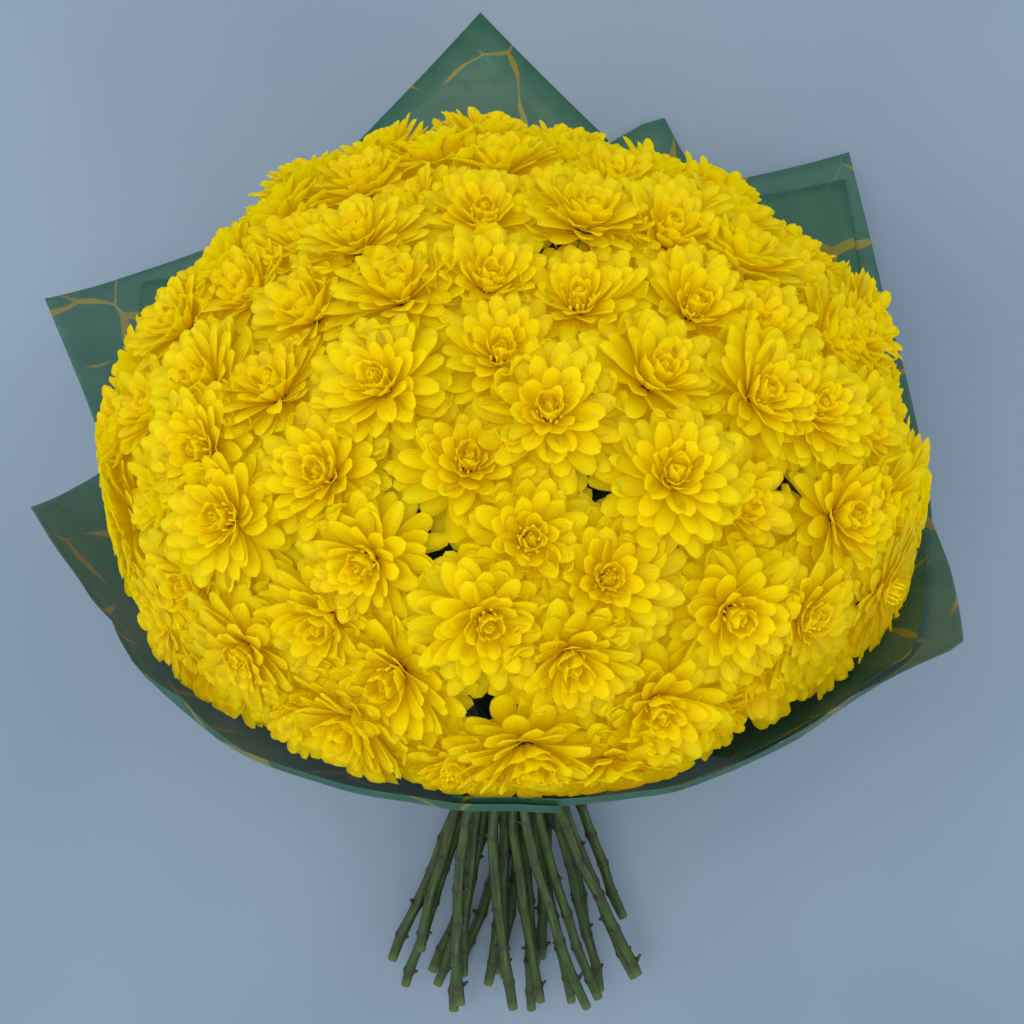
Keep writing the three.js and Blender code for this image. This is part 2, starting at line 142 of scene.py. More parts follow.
def new_material(name):
    """An empty material and its nodes."""
    material = bpy.data.materials.new(name)
    material.use_nodes = True
    material.node_tree.nodes.clear()
    return material, material.node_tree


def set_surface(tree, inputs):
    """Ends the graph with a principled surface."""
    output = add_node(tree, "ShaderNodeOutputMaterial")
    shader = add_node(tree, "ShaderNodeBsdfPrincipled", inputs)
    tree.links.new(shader.outputs["BSDF"], output.inputs["Surface"])


def to_mesh(whole, name):
    """Turns a mesh under construction into a finished one."""
    mesh = bpy.data.meshes.new(name)
    whole.to_mesh(mesh)
    whole.free()
    return mesh


# %% [markdown]
# ## Chrysanthemum petals
#
# A fresh petal is thin and slightly see-through, so light that has passed between the petals turns
# from yellow to orange and then to brown in the gaps. Subsurface scattering over a few
# millimetres gives that glow, and a little emission of the same colour stands for the light that
# crosses several petals. It is too faint to be sampled as a lamp. The colour is golden at the
# foot and in the middle of a bloom and paler and a little greener at the tips, and each petal
# differs a little. Each petal carries its own UV map, so fine grooves can run along it: real ones
# are about 1 mm apart.

# %% Petal material
GROOVE_COUNT = 7          # across a petal

petal_material, tree = new_material("Chrysanthemum petal, fresh")
uv = add_node(tree, "ShaderNodeUVMap", uv_map="petal")
along = add_node(tree, "ShaderNodeSeparateXYZ", {"Vector": uv.outputs["UV"]})
tint = add_node(tree, "ShaderNodeAttribute", attribute_name="tint")
parts = add_node(tree, "ShaderNodeSeparateColor", {"Color": tint.outputs["Color"]})

outer = add_ramp(
    tree, along.outputs["Y"], [(0.0, "#d9ac00"), (0.35, "#e1ba00"), (0.8, "#e3c100"), (1.0, "#e1c504")],
)
inner = add_ramp(
    tree, along.outputs["Y"], [(0.0, "#d89f00"), (0.5, "#e1b000"), (1.0, "#e3bb00")],
)
by_row = mix_colours(tree, parts.outputs["Red"], outer, inner)
greener = mix_colours(tree, parts.outputs["Green"], by_row, linear("#c8b000"))
grooves = add_node(
    tree, "ShaderNodeMath", {0: along.outputs["X"], 1: 2 * math.pi * GROOVE_COUNT}, operation="MULTIPLY",
)
groove_wave = add_node(tree, "ShaderNodeMath", {0: grooves.outputs["Value"]}, operation="COSINE")
set_surface(tree, {
    "Base Color": greener,
    "Roughness": 0.62,
    "IOR": 1.4,
    "Specular IOR Level": 0.12,
    "Subsurface Weight": 0.8,
    "Subsurface Radius": (1.0, 0.75, 0.05),
    "Subsurface Scale": 0.006,
    "Emission Color": greener,
    "Emission Strength": 0.16,
    "Normal": add_bump(tree, groove_wave.outputs["Value"], 0.25, 0.0002),
})
petal_material.cycles.emission_sampling = "NONE"
print("made", petal_material.name)

# %% [markdown]
# ## The spine of the bouquet
#
# The bundle of stems is not straight: the cut ends lie nearly flat on the table, and past the
# binding the dome of blooms leans up. Everything is placed by its distance along this spine and
# by how far it stands to the right of it and above it.

# %% Spine
STEM_SLOPE = 13.4        # degrees, at the cut ends
LEVEL_UNTIL = -80.0
STRAIGHT_FROM = -14.0
SPINE_END = -320.0


def smoothstep(x, start, end):
    t = np.clip((np.asarray(x, float) - start) / (end - start), 0, 1)
    return t * t * (3 - 2 * t)


def spine_slope(s):
    return np.radians(STEM_SLOPE + (DOME_SLOPE - STEM_SLOPE) * smoothstep(s, LEVEL_UNTIL, STRAIGHT_FROM))


def spine_forward(s):
    angle = spine_slope(s)
    return np.stack([0 * angle, np.cos(angle), np.sin(angle)], -1)


def spine_up(s):
    angle = spine_slope(s)
    return np.stack([0 * angle, -np.sin(angle), np.cos(angle)], -1)


curved_s = np.arange(STRAIGHT_FROM, SPINE_END, -0.5)
curved_steps = spine_forward(curved_s[:-1] - 0.25) * -0.5
curved_points = np.vstack([[0, 0, 0], np.cumsum(curved_steps, 0)])


def spine_point(s):
    s = np.asarray(s, float)
    straight = np.maximum(s, STRAIGHT_FROM)[..., None] * spine_forward(0.0)
    bent = [np.interp(s, curved_s[::-1], curved_points[::-1, axis]) for axis in range(3)]
    return BINDING + straight + np.stack(bent, -1)


def around_spine(s, x, y):
    """The point at distance x to the right of the spine and y above it."""
    x, y = np.asarray(x, float)[..., None], np.asarray(y, float)[..., None]
    return spine_point(s) + x * np.array([1.0, 0, 0]) + y * spine_up(s)


print("cut ends lie", spine_point(-220.0).round(0), "mm")

# %% [markdown]
# ## Where the stems run
#
# A florist turns the stems in a spiral as the bunch grows, so they cross at the binding and fan
# out on both sides without ever cutting through each other. The same golden-angle spiral as in
# the solids gives each stem its place.

# %% Stem paths
STEM_COUNT = 25
STEM_RADIUS = 3.35
STEM_SPACING = 5.0
STEM_TWIST = 0.17        # degrees for each millimetre
TWIST_UNTIL = 100.0
BINDING_PINCH = 0.14
PINCH_LENGTH = 45.0
SPREAD_ABOVE = 0.043
SPREAD_ACROSS = 0.0185
SPREAD_UP = 0.003
CUT_LENGTH = 226.0
CUT_TAPER = 42.0
CUT_VARIATION = 44.0
FORK_LOW = 108.0
FORK_HIGH = 232.0
GOLDEN_ANGLE = math.pi * (3 - math.sqrt(5))


def scatter(i, channel):
    """A repeatable number between -1 and 1 for item i, different for each channel."""
    x = (i + 1) * (0.6180339887 + 0.1370123 * channel) + 0.317 * channel
    return 2 * (x - math.floor(x)) - 1


def stem_twist(s):
    return np.radians(STEM_TWIST * np.clip(s, -CUT_LENGTH, TWIST_UNTIL))


def stem_point(i, s):
    s = np.asarray(s, float)
    tight = 1 - BINDING_PINCH * (1 - smoothstep(np.abs(s), 0, PINCH_LENGTH))
    above = s >= 0
    across = tight * np.hypot(1, np.where(above, SPREAD_ABOVE, SPREAD_ACROSS) * s)
    up = tight * np.hypot(1, np.where(above, SPREAD_ABOVE, SPREAD_UP) * s)
    angle = i * GOLDEN_ANGLE + stem_twist(s)
    r = STEM_SPACING * math.sqrt(i + 0.5)
    return around_spine(s, across * r * np.cos(angle), up * r * np.sin(angle))


def fork_distance(i):
    return FORK_HIGH + (FORK_LOW - FORK_HIGH) * (i + 0.5) / STEM_COUNT


def cut_distance(i):
    sideways = math.cos(i * GOLDEN_ANGLE + float(stem_twist(-CUT_LENGTH)))
    taper = CUT_TAPER * sideways ** 2 * (i + 0.5) / STEM_COUNT
    return -CUT_LENGTH + taper + CUT_VARIATION * (0.5 + 0.5 * scatter(i, 1)) ** 2


print("stems are cut between", round(min(cut_distance(i) for i in range(STEM_COUNT))),
      "and", round(max(cut_distance(i) for i in range(STEM_COUNT))), "mm from the binding")

# %% [markdown]
# ## Where the blooms stand
#
# The 125 blooms stand on a dome, as evenly as the seeds of a sunflower, with a few millimetres of
# disorder. The florist did not keep it quite round, so the outer ones stand a little further in or
# out. Where the rim in front leaves a gap, a smaller, later bloom of the same spray fills it.
# Between each pair of neighbours runs a plane that neither bloom may cross: pressed against it,
# real petals bend upwards, and that is what makes the dome bumpy and closed.

# %% Bloom seats
BLOOM_COUNT = 125
DOME_RADIUS = 200.0
DOME_DEPTH = 148.0
DOME_LIMIT = 99.0        # degrees from the crown
SEAT_JITTER = 6.0
SEAT_SHIFT = (0.035, 0.05)
NEIGHBOUR_REACH = 84.0
TABLE_CLEARANCE = 12.0
NOD = 0.24               # how far a bloom may look aside, as a share of its facing
FILM_NECK = 29.2
FILM_BEND_ALONG = 155.0
FILM_BEND_RADIUS = 213.0
FILM_MARGIN = 5.0
OVERHANG = 18.0          # the blooms above the lower edge of the film may lean over it
OVERHANG_FROM, OVERHANG_TO = 58.0, 118.0
# degrees seen from above (0 right, 90 towards the cut ends), and how far the seats move outwards
PLAN_CHANGE = [
    (-180, 0), (-150, -9), (-120, -3), (-90, -7), (-75, -5), (-60, -11), (-45, -15), (-30, -9), (-15, -8),
    (0, -12), (15, 11), (30, 4), (45, -9), (60, 10), (75, 7), (90, 10), (105, 9), (125, 0), (180, 0),
]
PLAN_SIZE = (200.0, 170.0, 140.0)    # of the even dome: to the sides, past the crown, towards the cut ends
PLAN_FROM, PLAN_FULL = 0.5, 0.92
LATE_POLAR = 94.0        # degrees from the crown, where the late blooms stand
LATE_GAP = 13.0          # degrees between blooms of the rim that leave room for a late one
LATE_SIZE = 0.66

area_steps = 240
angles = np.radians(DOME_LIMIT) * (np.arange(area_steps) + 0.5) / area_steps
slants = np.hypot(DOME_RADIUS * np.cos(angles), DOME_DEPTH * np.sin(angles))
areas = np.concatenate([[0], np.cumsum(np.sin(angles) * slants)])


def plan_change(point):
    """How far a seat moves from the even dome, to give the outline that is seen from above."""
    x, y = point[:2] - dome_middle[:2]
    share = math.hypot(x / PLAN_SIZE[0], y / PLAN_SIZE[1 if y > 0 else 2])
    change = np.interp(math.degrees(math.atan2(-y, x)), *zip(*PLAN_CHANGE))
    return np.array([x, y, 0]) / math.hypot(x, y) * change * float(smoothstep(share, PLAN_FROM, PLAN_FULL))


def make_seat(k):
    """The seat of bloom k, by its place in the sunflower spiral."""
    fraction = (k + 0.5) / BLOOM_COUNT
    step = int(np.searchsorted(areas, fraction * areas[-1]))
    polar = math.radians(DOME_LIMIT) * step / area_steps + SEAT_SHIFT[0] * scatter(k, 2)
    turn = k * GOLDEN_ANGLE + SEAT_SHIFT[1] * scatter(k, 3) / math.sin(polar)
    return place_seat(k, polar, turn, fraction, 1.0)


def place_seat(k, polar, turn, fraction, size):
    """A bloom's place, the way it faces and its place in the flat plan of the dome."""
    jitter = SEAT_JITTER * scatter(k, 4)
    r = DOME_RADIUS * math.sin(polar)
    s = NECK + DOME_DEPTH * math.cos(polar)
    point = around_spine(s, r * math.cos(turn), r * math.sin(turn))
    ahead_r = r + DOME_DEPTH * math.sin(polar)
    ahead_s = s + DOME_RADIUS * math.cos(polar)
    ahead = around_spine(ahead_s, ahead_r * math.cos(turn), ahead_r * math.sin(turn))
    facing = (ahead - point) / np.linalg.norm(ahead - point)
    point = point + facing * (min(jitter, 0) if polar > math.radians(75) else jitter)
    point = point + plan_change(point)
    nod = np.array([scatter(k, 6), scatter(k, 7), scatter(k, 8)]) * NOD
    facing = (facing + nod) / np.linalg.norm(facing + nod)
    flat = math.sqrt(fraction) * np.array([math.cos(turn), math.sin(turn)])
    rim = float(smoothstep(math.degrees(polar), 68, 84))
    return {
        "point": point, "facing": facing, "flat": flat, "index": k, "turn": turn, "rim": rim, "size": size,
    }


def late_seats(seats):
    """Smaller blooms in the wide gaps of the front rim."""
    turns = sorted((math.degrees(seat["turn"]) + 180) % 360 - 180 for seat in seats if seat["rim"] > 0.6)
    turns = [turn for turn in turns if 20 < turn < 165]
    middles = [(a + b) / 2 for a, b in zip(turns[:-1], turns[1:]) if b - a > LATE_GAP]
    return [
        place_seat(BLOOM_COUNT + n, math.radians(LATE_POLAR), math.radians(middle), 1.0, LATE_SIZE)
        for n, middle in enumerate(middles)
    ]


def spray_of(seat):
    """The stem that carries a bloom: the nearest one in the flat plan."""
    distances = []
    for i in range(STEM_COUNT):
        angle = i * GOLDEN_ANGLE + float(stem_twist(fork_distance(i)))
        place = math.sqrt((i + 0.5) / STEM_COUNT) * np.array([math.cos(angle), math.sin(angle)])
        distances.append(np.linalg.norm(seat["flat"] - place))
    return int(np.argmin(distances))


def borders(seat, seats):
    """Planes that a bloom's petals stay behind, as outward normals and distances from its seat."""
    normals, distances = [], []
    for other in seats:
        across = other["point"] - seat["point"]
        distance = np.linalg.norm(across)
        if 0 < distance < NEIGHBOUR_REACH:
            normals.append(across / distance)
            distances.append(distance / 2)
    normals.append(np.array([0, 0, -1.0]))
    distances.append(seat["point"][2] - TABLE_CLEARANCE)
    outward = math.cos(seat["turn"]) * np.array([1.0, 0, 0]) + math.sin(seat["turn"]) * spine_up(0.0)
    offset = seat["point"] - BINDING
    along, radius = offset @ spine_forward(0.0), offset @ outward
    degrees = (math.degrees(seat["turn"]) + 180) % 360 - 180
    over = OVERHANG if OVERHANG_FROM < degrees < OVERHANG_TO else 0.0
    normals.append(outward)
    distances.append(FILM_BEND_RADIUS - FILM_MARGIN + over - radius)
    run, rise = FILM_BEND_ALONG, FILM_BEND_RADIUS - FILM_NECK
    slant = math.hypot(run, rise)
    normals.append((outward * run - spine_forward(0.0) * rise) / slant)
    distances.append(((FILM_NECK - radius) * run + along * rise) / slant - FILM_MARGIN)
    return np.array(normals), np.array(distances)


seats = [make_seat(k) for k in range(BLOOM_COUNT)]
seats += late_seats(seats)
for seat in seats:
    seat["stem"] = spray_of(seat)
    seat["borders"] = borders(seat, seats)
spray_sizes = sorted({sum(seat["stem"] == i for seat in seats) for i in range(STEM_COUNT)})
print("blooms", len(seats), "in sprays of", spray_sizes)

# %% [markdown]
# ## One blade of a petal
#
# A petal is a thin closed blade. A cone with four sides and several rings is the quickest start:
# two of its corners become the rims of the petal, the other two its upper and lower face, and the
# top ring closes to the tip. The blade is straight here and is only bent when a bloom is made. Its
# rims are sharp, so that each face is shaded by itself.

# %% Petal blade
PETAL_RINGS = 7


def petal_blade():
    """A straight blade: x runs across from -1 to 1, y through it, z along it from 0 to 1."""
    blade = bmesh.new()
    bmesh.ops.create_cone(
        blade, cap_ends=True, cap_tris=False, segments=4, radius1=1, radius2=1, depth=1,
        matrix=Matrix.Translation((0, 0, 0.5)),
    )
    upright = [e for e in blade.edges if abs(e.verts[0].co.z - e.verts[1].co.z) > 0.5]
    bmesh.ops.subdivide_edges(blade, edges=upright, cuts=PETAL_RINGS - 2, use_grid_fill=True)
    tip = [v for v in blade.verts if v.co.z > 0.999]
    for edge in blade.edges:
        rim = all(abs(v.co.x) > 0.9 for v in edge.verts)
        edge.smooth = not rim
    uv_layer = blade.loops.layers.uv.new("petal")
    for face in blade.faces:
        face.smooth = True
        for loop in face.loops:
            loop[uv_layer].uv = (loop.vert.co.x / 2 + 0.5, loop.vert.co.z)
    bmesh.ops.pointmerge(blade, verts=tip, merge_co=(0, 0, 1))
    return to_mesh(blade, "petal_blade")


blade_mesh = petal_blade()
print("a petal has", len(blade_mesh.vertices), "vertices and", len(blade_mesh.polygons), "faces")

# %% [markdown]
# ## One bloom
#
# A spray chrysanthemum of this kind has about a hundred petals in rings: the outer ones lie flat
# and long, and each ring further in is shorter and stands up more, until the middle ones close
# over the small tube florets of the disc. Each row below gives one ring.

# %% Petal rings
# number, length, half width, foot radius, foot height, slope at the foot, slope at the tip, cupping
PETAL_ROWS = [
    (15, 31.0, 5.0, 5.5, -7.0, 2, -10, 0.18),
    (15, 30.5, 5.0, 5.3, -5.5, 11, 0, 0.20),
    (15, 29.0, 4.9, 5.0, -4.5, 20, 10, 0.24),
    (14, 26.5, 4.7, 4.5, -3.5, 30, 22, 0.28),
    (13, 23.0, 4.4, 4.0, -2.5, 41, 38, 0.32),
    (11, 19.0, 4.0, 3.3, -2.0, 53, 60, 0.36),
    (9, 15.5, 3.5, 2.4, -1.5, 66, 92, 0.40),
    (6, 12.5, 3.0, 1.4, -1.0, 78, 120, 0.44),
]
PETAL_THICKNESS = 0.55
RING_PLACES = np.array([0, 0.2, 0.42, 0.64, 0.82, 0.94, 1.0])
RING_WIDTHS = np.array([0.30, 0.60, 0.88, 1.0, 0.90, 0.60, 0.06])

row_of_petal = np.repeat(np.arange(len(PETAL_ROWS)), [row[0] for row in PETAL_ROWS])
petal_count = len(row_of_petal)
print("petals in a bloom:", petal_count)

# %% [markdown]
# The middle of some blooms stays open and shows the disc: a button of golden tube florets about
# 12 mm across, with brown specks where they have opened. A tube floret is only a few faces.

# %% Bloom template
FLORET_COUNT = 22
DISC_RADIUS = 5.6
FLORET_LENGTH = (7.5, 10.5)
FLORET_RADIUS = (0.55, 0.85)
FLORET_FOOT = 2.0        # below the seat of the bloom


def bloom_template():
    """All blades and florets of one bloom in one mesh, each still straight at the origin."""
    whole = bmesh.new()
    for _ in range(petal_count):
        whole.from_mesh(blade_mesh)
    uv_layer = whole.loops.layers.uv["petal"]
    for _ in range(FLORET_COUNT):
        made = bmesh.ops.create_cone(
            whole, cap_ends=True, cap_tris=False, segments=5, radius1=0.5, radius2=1.0, depth=1,
            matrix=Matrix.Translation((0, 0, 0.5)),
        )
        for face in {face for vert in made["verts"] for face in vert.link_faces}:
            face.smooth = True
            for loop in face.loops:
                loop[uv_layer].uv = (0.5, loop.vert.co.z)
    return to_mesh(whole, "bloom_template")


template = bloom_template()
template_points = np.empty(len(template.vertices) * 3)
template.vertices.foreach_get("co", template_points)
template_points = template_points.reshape(-1, 3)
petal_points = petal_count * len(blade_mesh.vertices)
point_petal = np.arange(petal_points) // len(blade_mesh.vertices)
point_ring = np.rint(template_points[:petal_points, 2] * (PETAL_RINGS - 1)).astype(int)
point_across = template_points[:petal_points, 0]
point_through = template_points[:petal_points, 1]
print("a bloom has", len(template.vertices), "vertices and", len(template.polygons), "faces")

# %% [markdown]
# ## Growing the petals
#
# Each petal grows from its foot in six steps. At each step it turns a little, as its ring says,
# and where the next step would press against a border it is turned along that border and upwards.
# The width of the petal stays square to its course, and its rims are raised a little, which makes
# the shallow cup of the real petal.

# %% Grow the petals of a bloom
FILM_SKIN = 2.5
# degrees round the dome, and how far from its axis the petals reach there
DOME_REACH = [
    (-180, 209), (-150, 205), (-120, 207), (-90, 206), (-60, 201), (-45, 199), (-30, 202), (0, 205),
    (12, 212), (55, 212), (63, 230), (112, 230), (120, 212), (150, 212), (180, 209),
]
# distance along the dome's axis, and how far from it the film in front lets the petals reach
FRONT_EDGE = [(155, 210.5), (167, 212.0), (173, 232.0)]
SOFT_REACH = 10.0        # petals are held back gently over this distance
PRESS_DISTANCE = 9.0     # petals feel a border from this far
PRESS_LIFT = 0.7         # how much of the hindered course goes upwards
MESHING = (3.0, 14.0)    # how far petals reach between those of the next bloom
FIXED_BORDERS = 3        # the table and the two borders of the film, after those of the neighbours
DEEPEST_PRESS = -0.4     # how hard a border pushes back a petal that is past it
OPENNESS = (-5, 7)       # degrees by which a whole bloom stands more or less upright
SIZE_SPREAD = (0.93, 1.05)
RIM_GROWTH = 0.12        # blooms at the rim have room to grow larger
RIM_MESHING = 0.6
RING_TURN = 0.382        # of a whole turn, from each ring of petals to the next
TURN_DISORDER = 0.018
LENGTH_SPREAD = (0.86, 1.08)
WIDTH_SPREAD = (0.88, 1.08)
CUP_SPREAD = (0.6, 1.4)
FOOT_DISORDER, TIP_DISORDER, ROLL_DISORDER, SWERVE_DISORDER = 4.5, 11.0, 11.0, 15.0    # degrees
TIP_OPENING = 1.3        # the tips follow the openness more than the feet
LATE_CURVE = 1.3         # petals curve more towards their tips
GREEN_TINT, GREEN_DISORDER = 0.22, 0.16


def unit(v):
    return v / np.maximum(np.linalg.norm(v, axis=-1, keepdims=True), 1e-9)


def bloom_frame(seat):
    """Two directions square to the way a bloom faces, and that way."""
    facing = seat["facing"]
    side = unit(np.cross(facing, [0.3, 0.2, 0.93]))
    return side, np.cross(facing, side), facing


def ease(radius, limit, softness):
    """Holds radii back, ever more over the last few millimetres before a limit."""
    over = np.maximum(radius - limit + softness, 0)
    return radius - over + softness * (1 - np.exp(-over / softness))


def keep_inside(points):
    """Moves points that would stick out of the wrap back to it, towards the dome's axis."""
    offset = points - BINDING
    along = offset @ spine_forward(0.0)
    x, y = offset[:, 0], offset @ spine_up(0.0)
    radius = np.hypot(x, y)
    cone = FILM_NECK + (FILM_BEND_RADIUS - FILM_NECK) / FILM_BEND_ALONG * along - FILM_SKIN
    widest = np.interp(np.degrees(np.arctan2(y, x)), *zip(*DOME_REACH))
    edge = np.interp(along, *zip(*FRONT_EDGE))
    eased = ease(ease(radius, widest, SOFT_REACH), np.minimum(cone, edge), FILM_SKIN)
    excess = (radius - eased) / np.maximum(radius, 1)
    return points - (x * excess)[:, None] * [1.0, 0, 0] - (y * excess)[:, None] * spine_up(0.0)


def grow_petals(seat, random):
    """The vertices of all petals of a bloom, and the tint of each petal."""
    rows = np.array(PETAL_ROWS)[row_of_petal]
    side, ahead, up = bloom_frame(seat)
    openness = random.uniform(*OPENNESS)
    at_rim = seat["rim"]
    size = random.uniform(*SIZE_SPREAD) * (1 + RIM_GROWTH * at_rim) * seat["size"]
    order = np.concatenate([np.arange(row[0]) / row[0] for row in PETAL_ROWS])
    uneven = random.uniform(-TURN_DISORDER, TURN_DISORDER, petal_count)
    turn = 2 * math.pi * (order + row_of_petal * RING_TURN + uneven)
    turn = turn + random.uniform(0, 2 * math.pi)
    length = rows[:, 1] * size * random.uniform(*LENGTH_SPREAD, petal_count)
    half_width = rows[:, 2] * size * random.uniform(*WIDTH_SPREAD, petal_count)
    foot_slope = rows[:, 5] + openness + random.normal(0, FOOT_DISORDER, petal_count)
    tip_slope = rows[:, 6] + openness * TIP_OPENING + random.normal(0, TIP_DISORDER, petal_count)
    cupping = rows[:, 7] * random.uniform(*CUP_SPREAD, petal_count)
    roll = np.radians(random.normal(0, ROLL_DISORDER, petal_count))
    meshing = random.uniform(*MESHING, petal_count) * (1 + RIM_MESHING * at_rim)
    swerve = np.radians(random.normal(0, SWERVE_DISORDER, petal_count))

    outward = np.cos(turn)[:, None] * side + np.sin(turn)[:, None] * ahead
    tangent = -np.sin(turn)[:, None] * side + np.cos(turn)[:, None] * ahead
    place = outward * rows[:, 3:4] + up * rows[:, 4:5]
    normals, distances = seat["borders"]
    centres, widths, faces = [place], [], []
    width = unit(tangent * np.cos(roll)[:, None] + up * np.sin(roll)[:, None])
    for ring in range(1, PETAL_RINGS):
        middle = (RING_PLACES[ring] + RING_PLACES[ring - 1]) / 2
        angle = np.radians(foot_slope + (tip_slope - foot_slope) * middle ** LATE_CURVE)
        aside = (swerve * middle)[:, None]
        flat_course = np.cos(aside) * outward + np.sin(aside) * tangent
        course = np.cos(angle)[:, None] * flat_course + np.sin(angle)[:, None] * up
        for n, (normal, distance) in enumerate(zip(normals, distances)):
            slack = meshing if n < len(normals) - FIXED_BORDERS else 0
            room = np.clip((distance + slack - place @ normal) / PRESS_DISTANCE, DEEPEST_PRESS, 1)
            hindered = np.maximum(course @ normal - room, 0)[:, None]
            course = unit(course - normal * hindered + up * hindered * PRESS_LIFT)
        step = (length * (RING_PLACES[ring] - RING_PLACES[ring - 1]))[:, None]
        width = unit(width - course * np.sum(width * course, -1, keepdims=True))
        widths.append(width)
        faces.append(np.cross(course, width))
        place = place + course * step
        centres.append(place)
    widths.insert(0, widths[0])
    faces.insert(0, faces[0])
    centres, widths, faces = np.array(centres), np.array(widths), np.array(faces)

    half = RING_WIDTHS[point_ring] * half_width[point_petal]
    lift = cupping[point_petal] * half * point_across ** 2
    lift = lift + 0.5 * PETAL_THICKNESS * point_through
    points = centres[point_ring, point_petal]
    points = points + widths[point_ring, point_petal] * (point_across * half)[:, None]
    points = points + faces[point_ring, point_petal] * lift[:, None]
    points = keep_inside(points + seat["point"])
    inward = row_of_petal / (len(PETAL_ROWS) - 1)
    greenness = random.normal(GREEN_TINT, GREEN_DISORDER, petal_count) * (1 - 0.7 * inward)
    greenness = np.clip(greenness, 0, 0.7)
    tints = np.stack([np.clip(inward ** 1.5 + random.normal(0, 0.05, petal_count), 0, 1), greenness], -1)
    return points, tints[point_petal]


def grow_florets(seat, random):
    """The vertices of the disc florets, and their tint."""
    side, ahead, up = bloom_frame(seat)
    points = template_points[petal_points:].reshape(FLORET_COUNT, -1, 3)
    i = np.arange(FLORET_COUNT)
    r = DISC_RADIUS * np.sqrt((i + 0.5) / FLORET_COUNT)
    turn = i * GOLDEN_ANGLE + random.uniform(0, 6)
    foot = (r * np.cos(turn))[:, None] * side + (r * np.sin(turn))[:, None] * ahead
    tall = random.uniform(*FLORET_LENGTH, FLORET_COUNT) - 0.06 * r ** 2
    lean = unit(foot * 0.02 + up)
    thick = random.uniform(*FLORET_RADIUS, FLORET_COUNT)[:, None, None]
    placed = foot[:, None] + points[..., 0:1] * thick * side + points[..., 1:2] * thick * ahead
    placed = placed + points[..., 2:3] * tall[:, None, None] * lean[:, None] - FLORET_FOOT * up
    tint_values = np.repeat(np.stack([np.ones(FLORET_COUNT), np.zeros(FLORET_COUNT)], -1), points.shape[1], 0)
    return placed.reshape(-1, 3) + seat["point"], tint_values


# %% [markdown]
# ## Sprays of blooms
#
# The blooms of one stem become one piece, which takes the place of that spray's solid.

# %% Make the sprays
def finish_piece(mesh, name, material, slot, *nodes):
    """Makes an object of a mesh, gives it its material, hangs it under the root and hides the solids it
    replaces. The slot is not used.
    """
    mesh.name = name
    mesh.materials.clear()
    mesh.materials.append(material)
    piece = bpy.data.objects.new(name, mesh)
    bpy.context.scene.collection.objects.link(piece)
    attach(piece, "root")
    if nodes:
        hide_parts(*nodes)
    return piece


def make_spray(i):
    """All blooms of stem i in one mesh."""
    own = [seat for seat in seats if seat["stem"] == i]
    whole = bmesh.new()
    all_points, all_tints = [], []
    for seat in own:
        random = np.random.RandomState(1000 + seat["index"])
        points, tints = grow_petals(seat, random)
        florets, floret_tints = grow_florets(seat, random)
        all_points += [points, florets]
        all_tints += [tints, floret_tints]
        whole.from_mesh(template)
    mesh = to_mesh(whole, "spray")
    mesh.vertices.foreach_set("co", (np.vstack(all_points) * MM).ravel())
    tint_rows = np.vstack(all_tints)
    colours = np.ones((len(tint_rows), 4))
    colours[:, :2] = tint_rows
    attribute = mesh.attributes.new("tint", "FLOAT_COLOR", "POINT")
    attribute.data.foreach_set("color", colours.ravel())
    mesh.update()
    return mesh


petal_faces = 0
for i in range(STEM_COUNT):
    name = f"spray_{i + 1:02d}"
    spray = finish_piece(make_spray(i), name + "_petals", petal_material, "petals", name)
    petal_faces += len(spray.data.polygons)
print("faces of all sprays:", petal_faces)

# %% [markdown]
# ## Stems and pedicels
#
# A chrysanthemum stem is a firm green rod, a little thicker at each joint, where a leaf once
# stood. The florist strips the leaves and leaves small stubs. The middle of the stem is
# darker than its ribs, and the joints turn brownish. The colour reads two values that each tube
# carries: how near a point is to a joint, and how near to the cut end. On the pedicels and cups
# the first value gives a slight brown that is painted shade for the gaps between the blooms.

# %% Stem material
stem_material, tree = new_material("Chrysanthemum stem, fresh cut")
place = add_node(tree, "ShaderNodeUVMap", uv_map="stem")
state = add_node(tree, "ShaderNodeAttribute", attribute_name="tint")
split = add_node(tree, "ShaderNodeSeparateColor", {"Color": state.outputs["Color"]})
stretched = add_node(tree, "ShaderNodeMapping", {"Vector": place.outputs["UV"], "Scale": (9.0, 0.04, 1.0)})
ribs = add_node(
    tree, "ShaderNodeTexNoise", {"Vector": stretched.outputs["Vector"], "Scale": 1.0, "Detail": 3.0},
)
green = add_ramp(tree, ribs.outputs["Fac"], [(0.3, "#1b2c0d"), (0.55, "#314b17"), (0.75, "#526a29")])
# Brown by the first value of the tint: the stem joints' own colour, and on pedicels and cups painted shade
# for the gaps between blooms.
joint_brown_and_gap_shade = mix_colours(tree, split.outputs["Red"], green, linear("#2a1f0d"))
set_surface(tree, {
    "Base Color": mix_colours(tree, split.outputs["Green"], joint_brown_and_gap_shade, linear("#5c6a34")),
    "Roughness": 0.55,
    "IOR": 1.45,
    "Normal": add_bump(tree, ribs.outputs["Fac"], 0.5, 0.0006),
})
print("made", stem_material.name)

# %% [markdown]
# A tube starts as a circle. Its edge is extruded once for each further place on the path and the
# new ring is moved there, and at last both ends are closed.

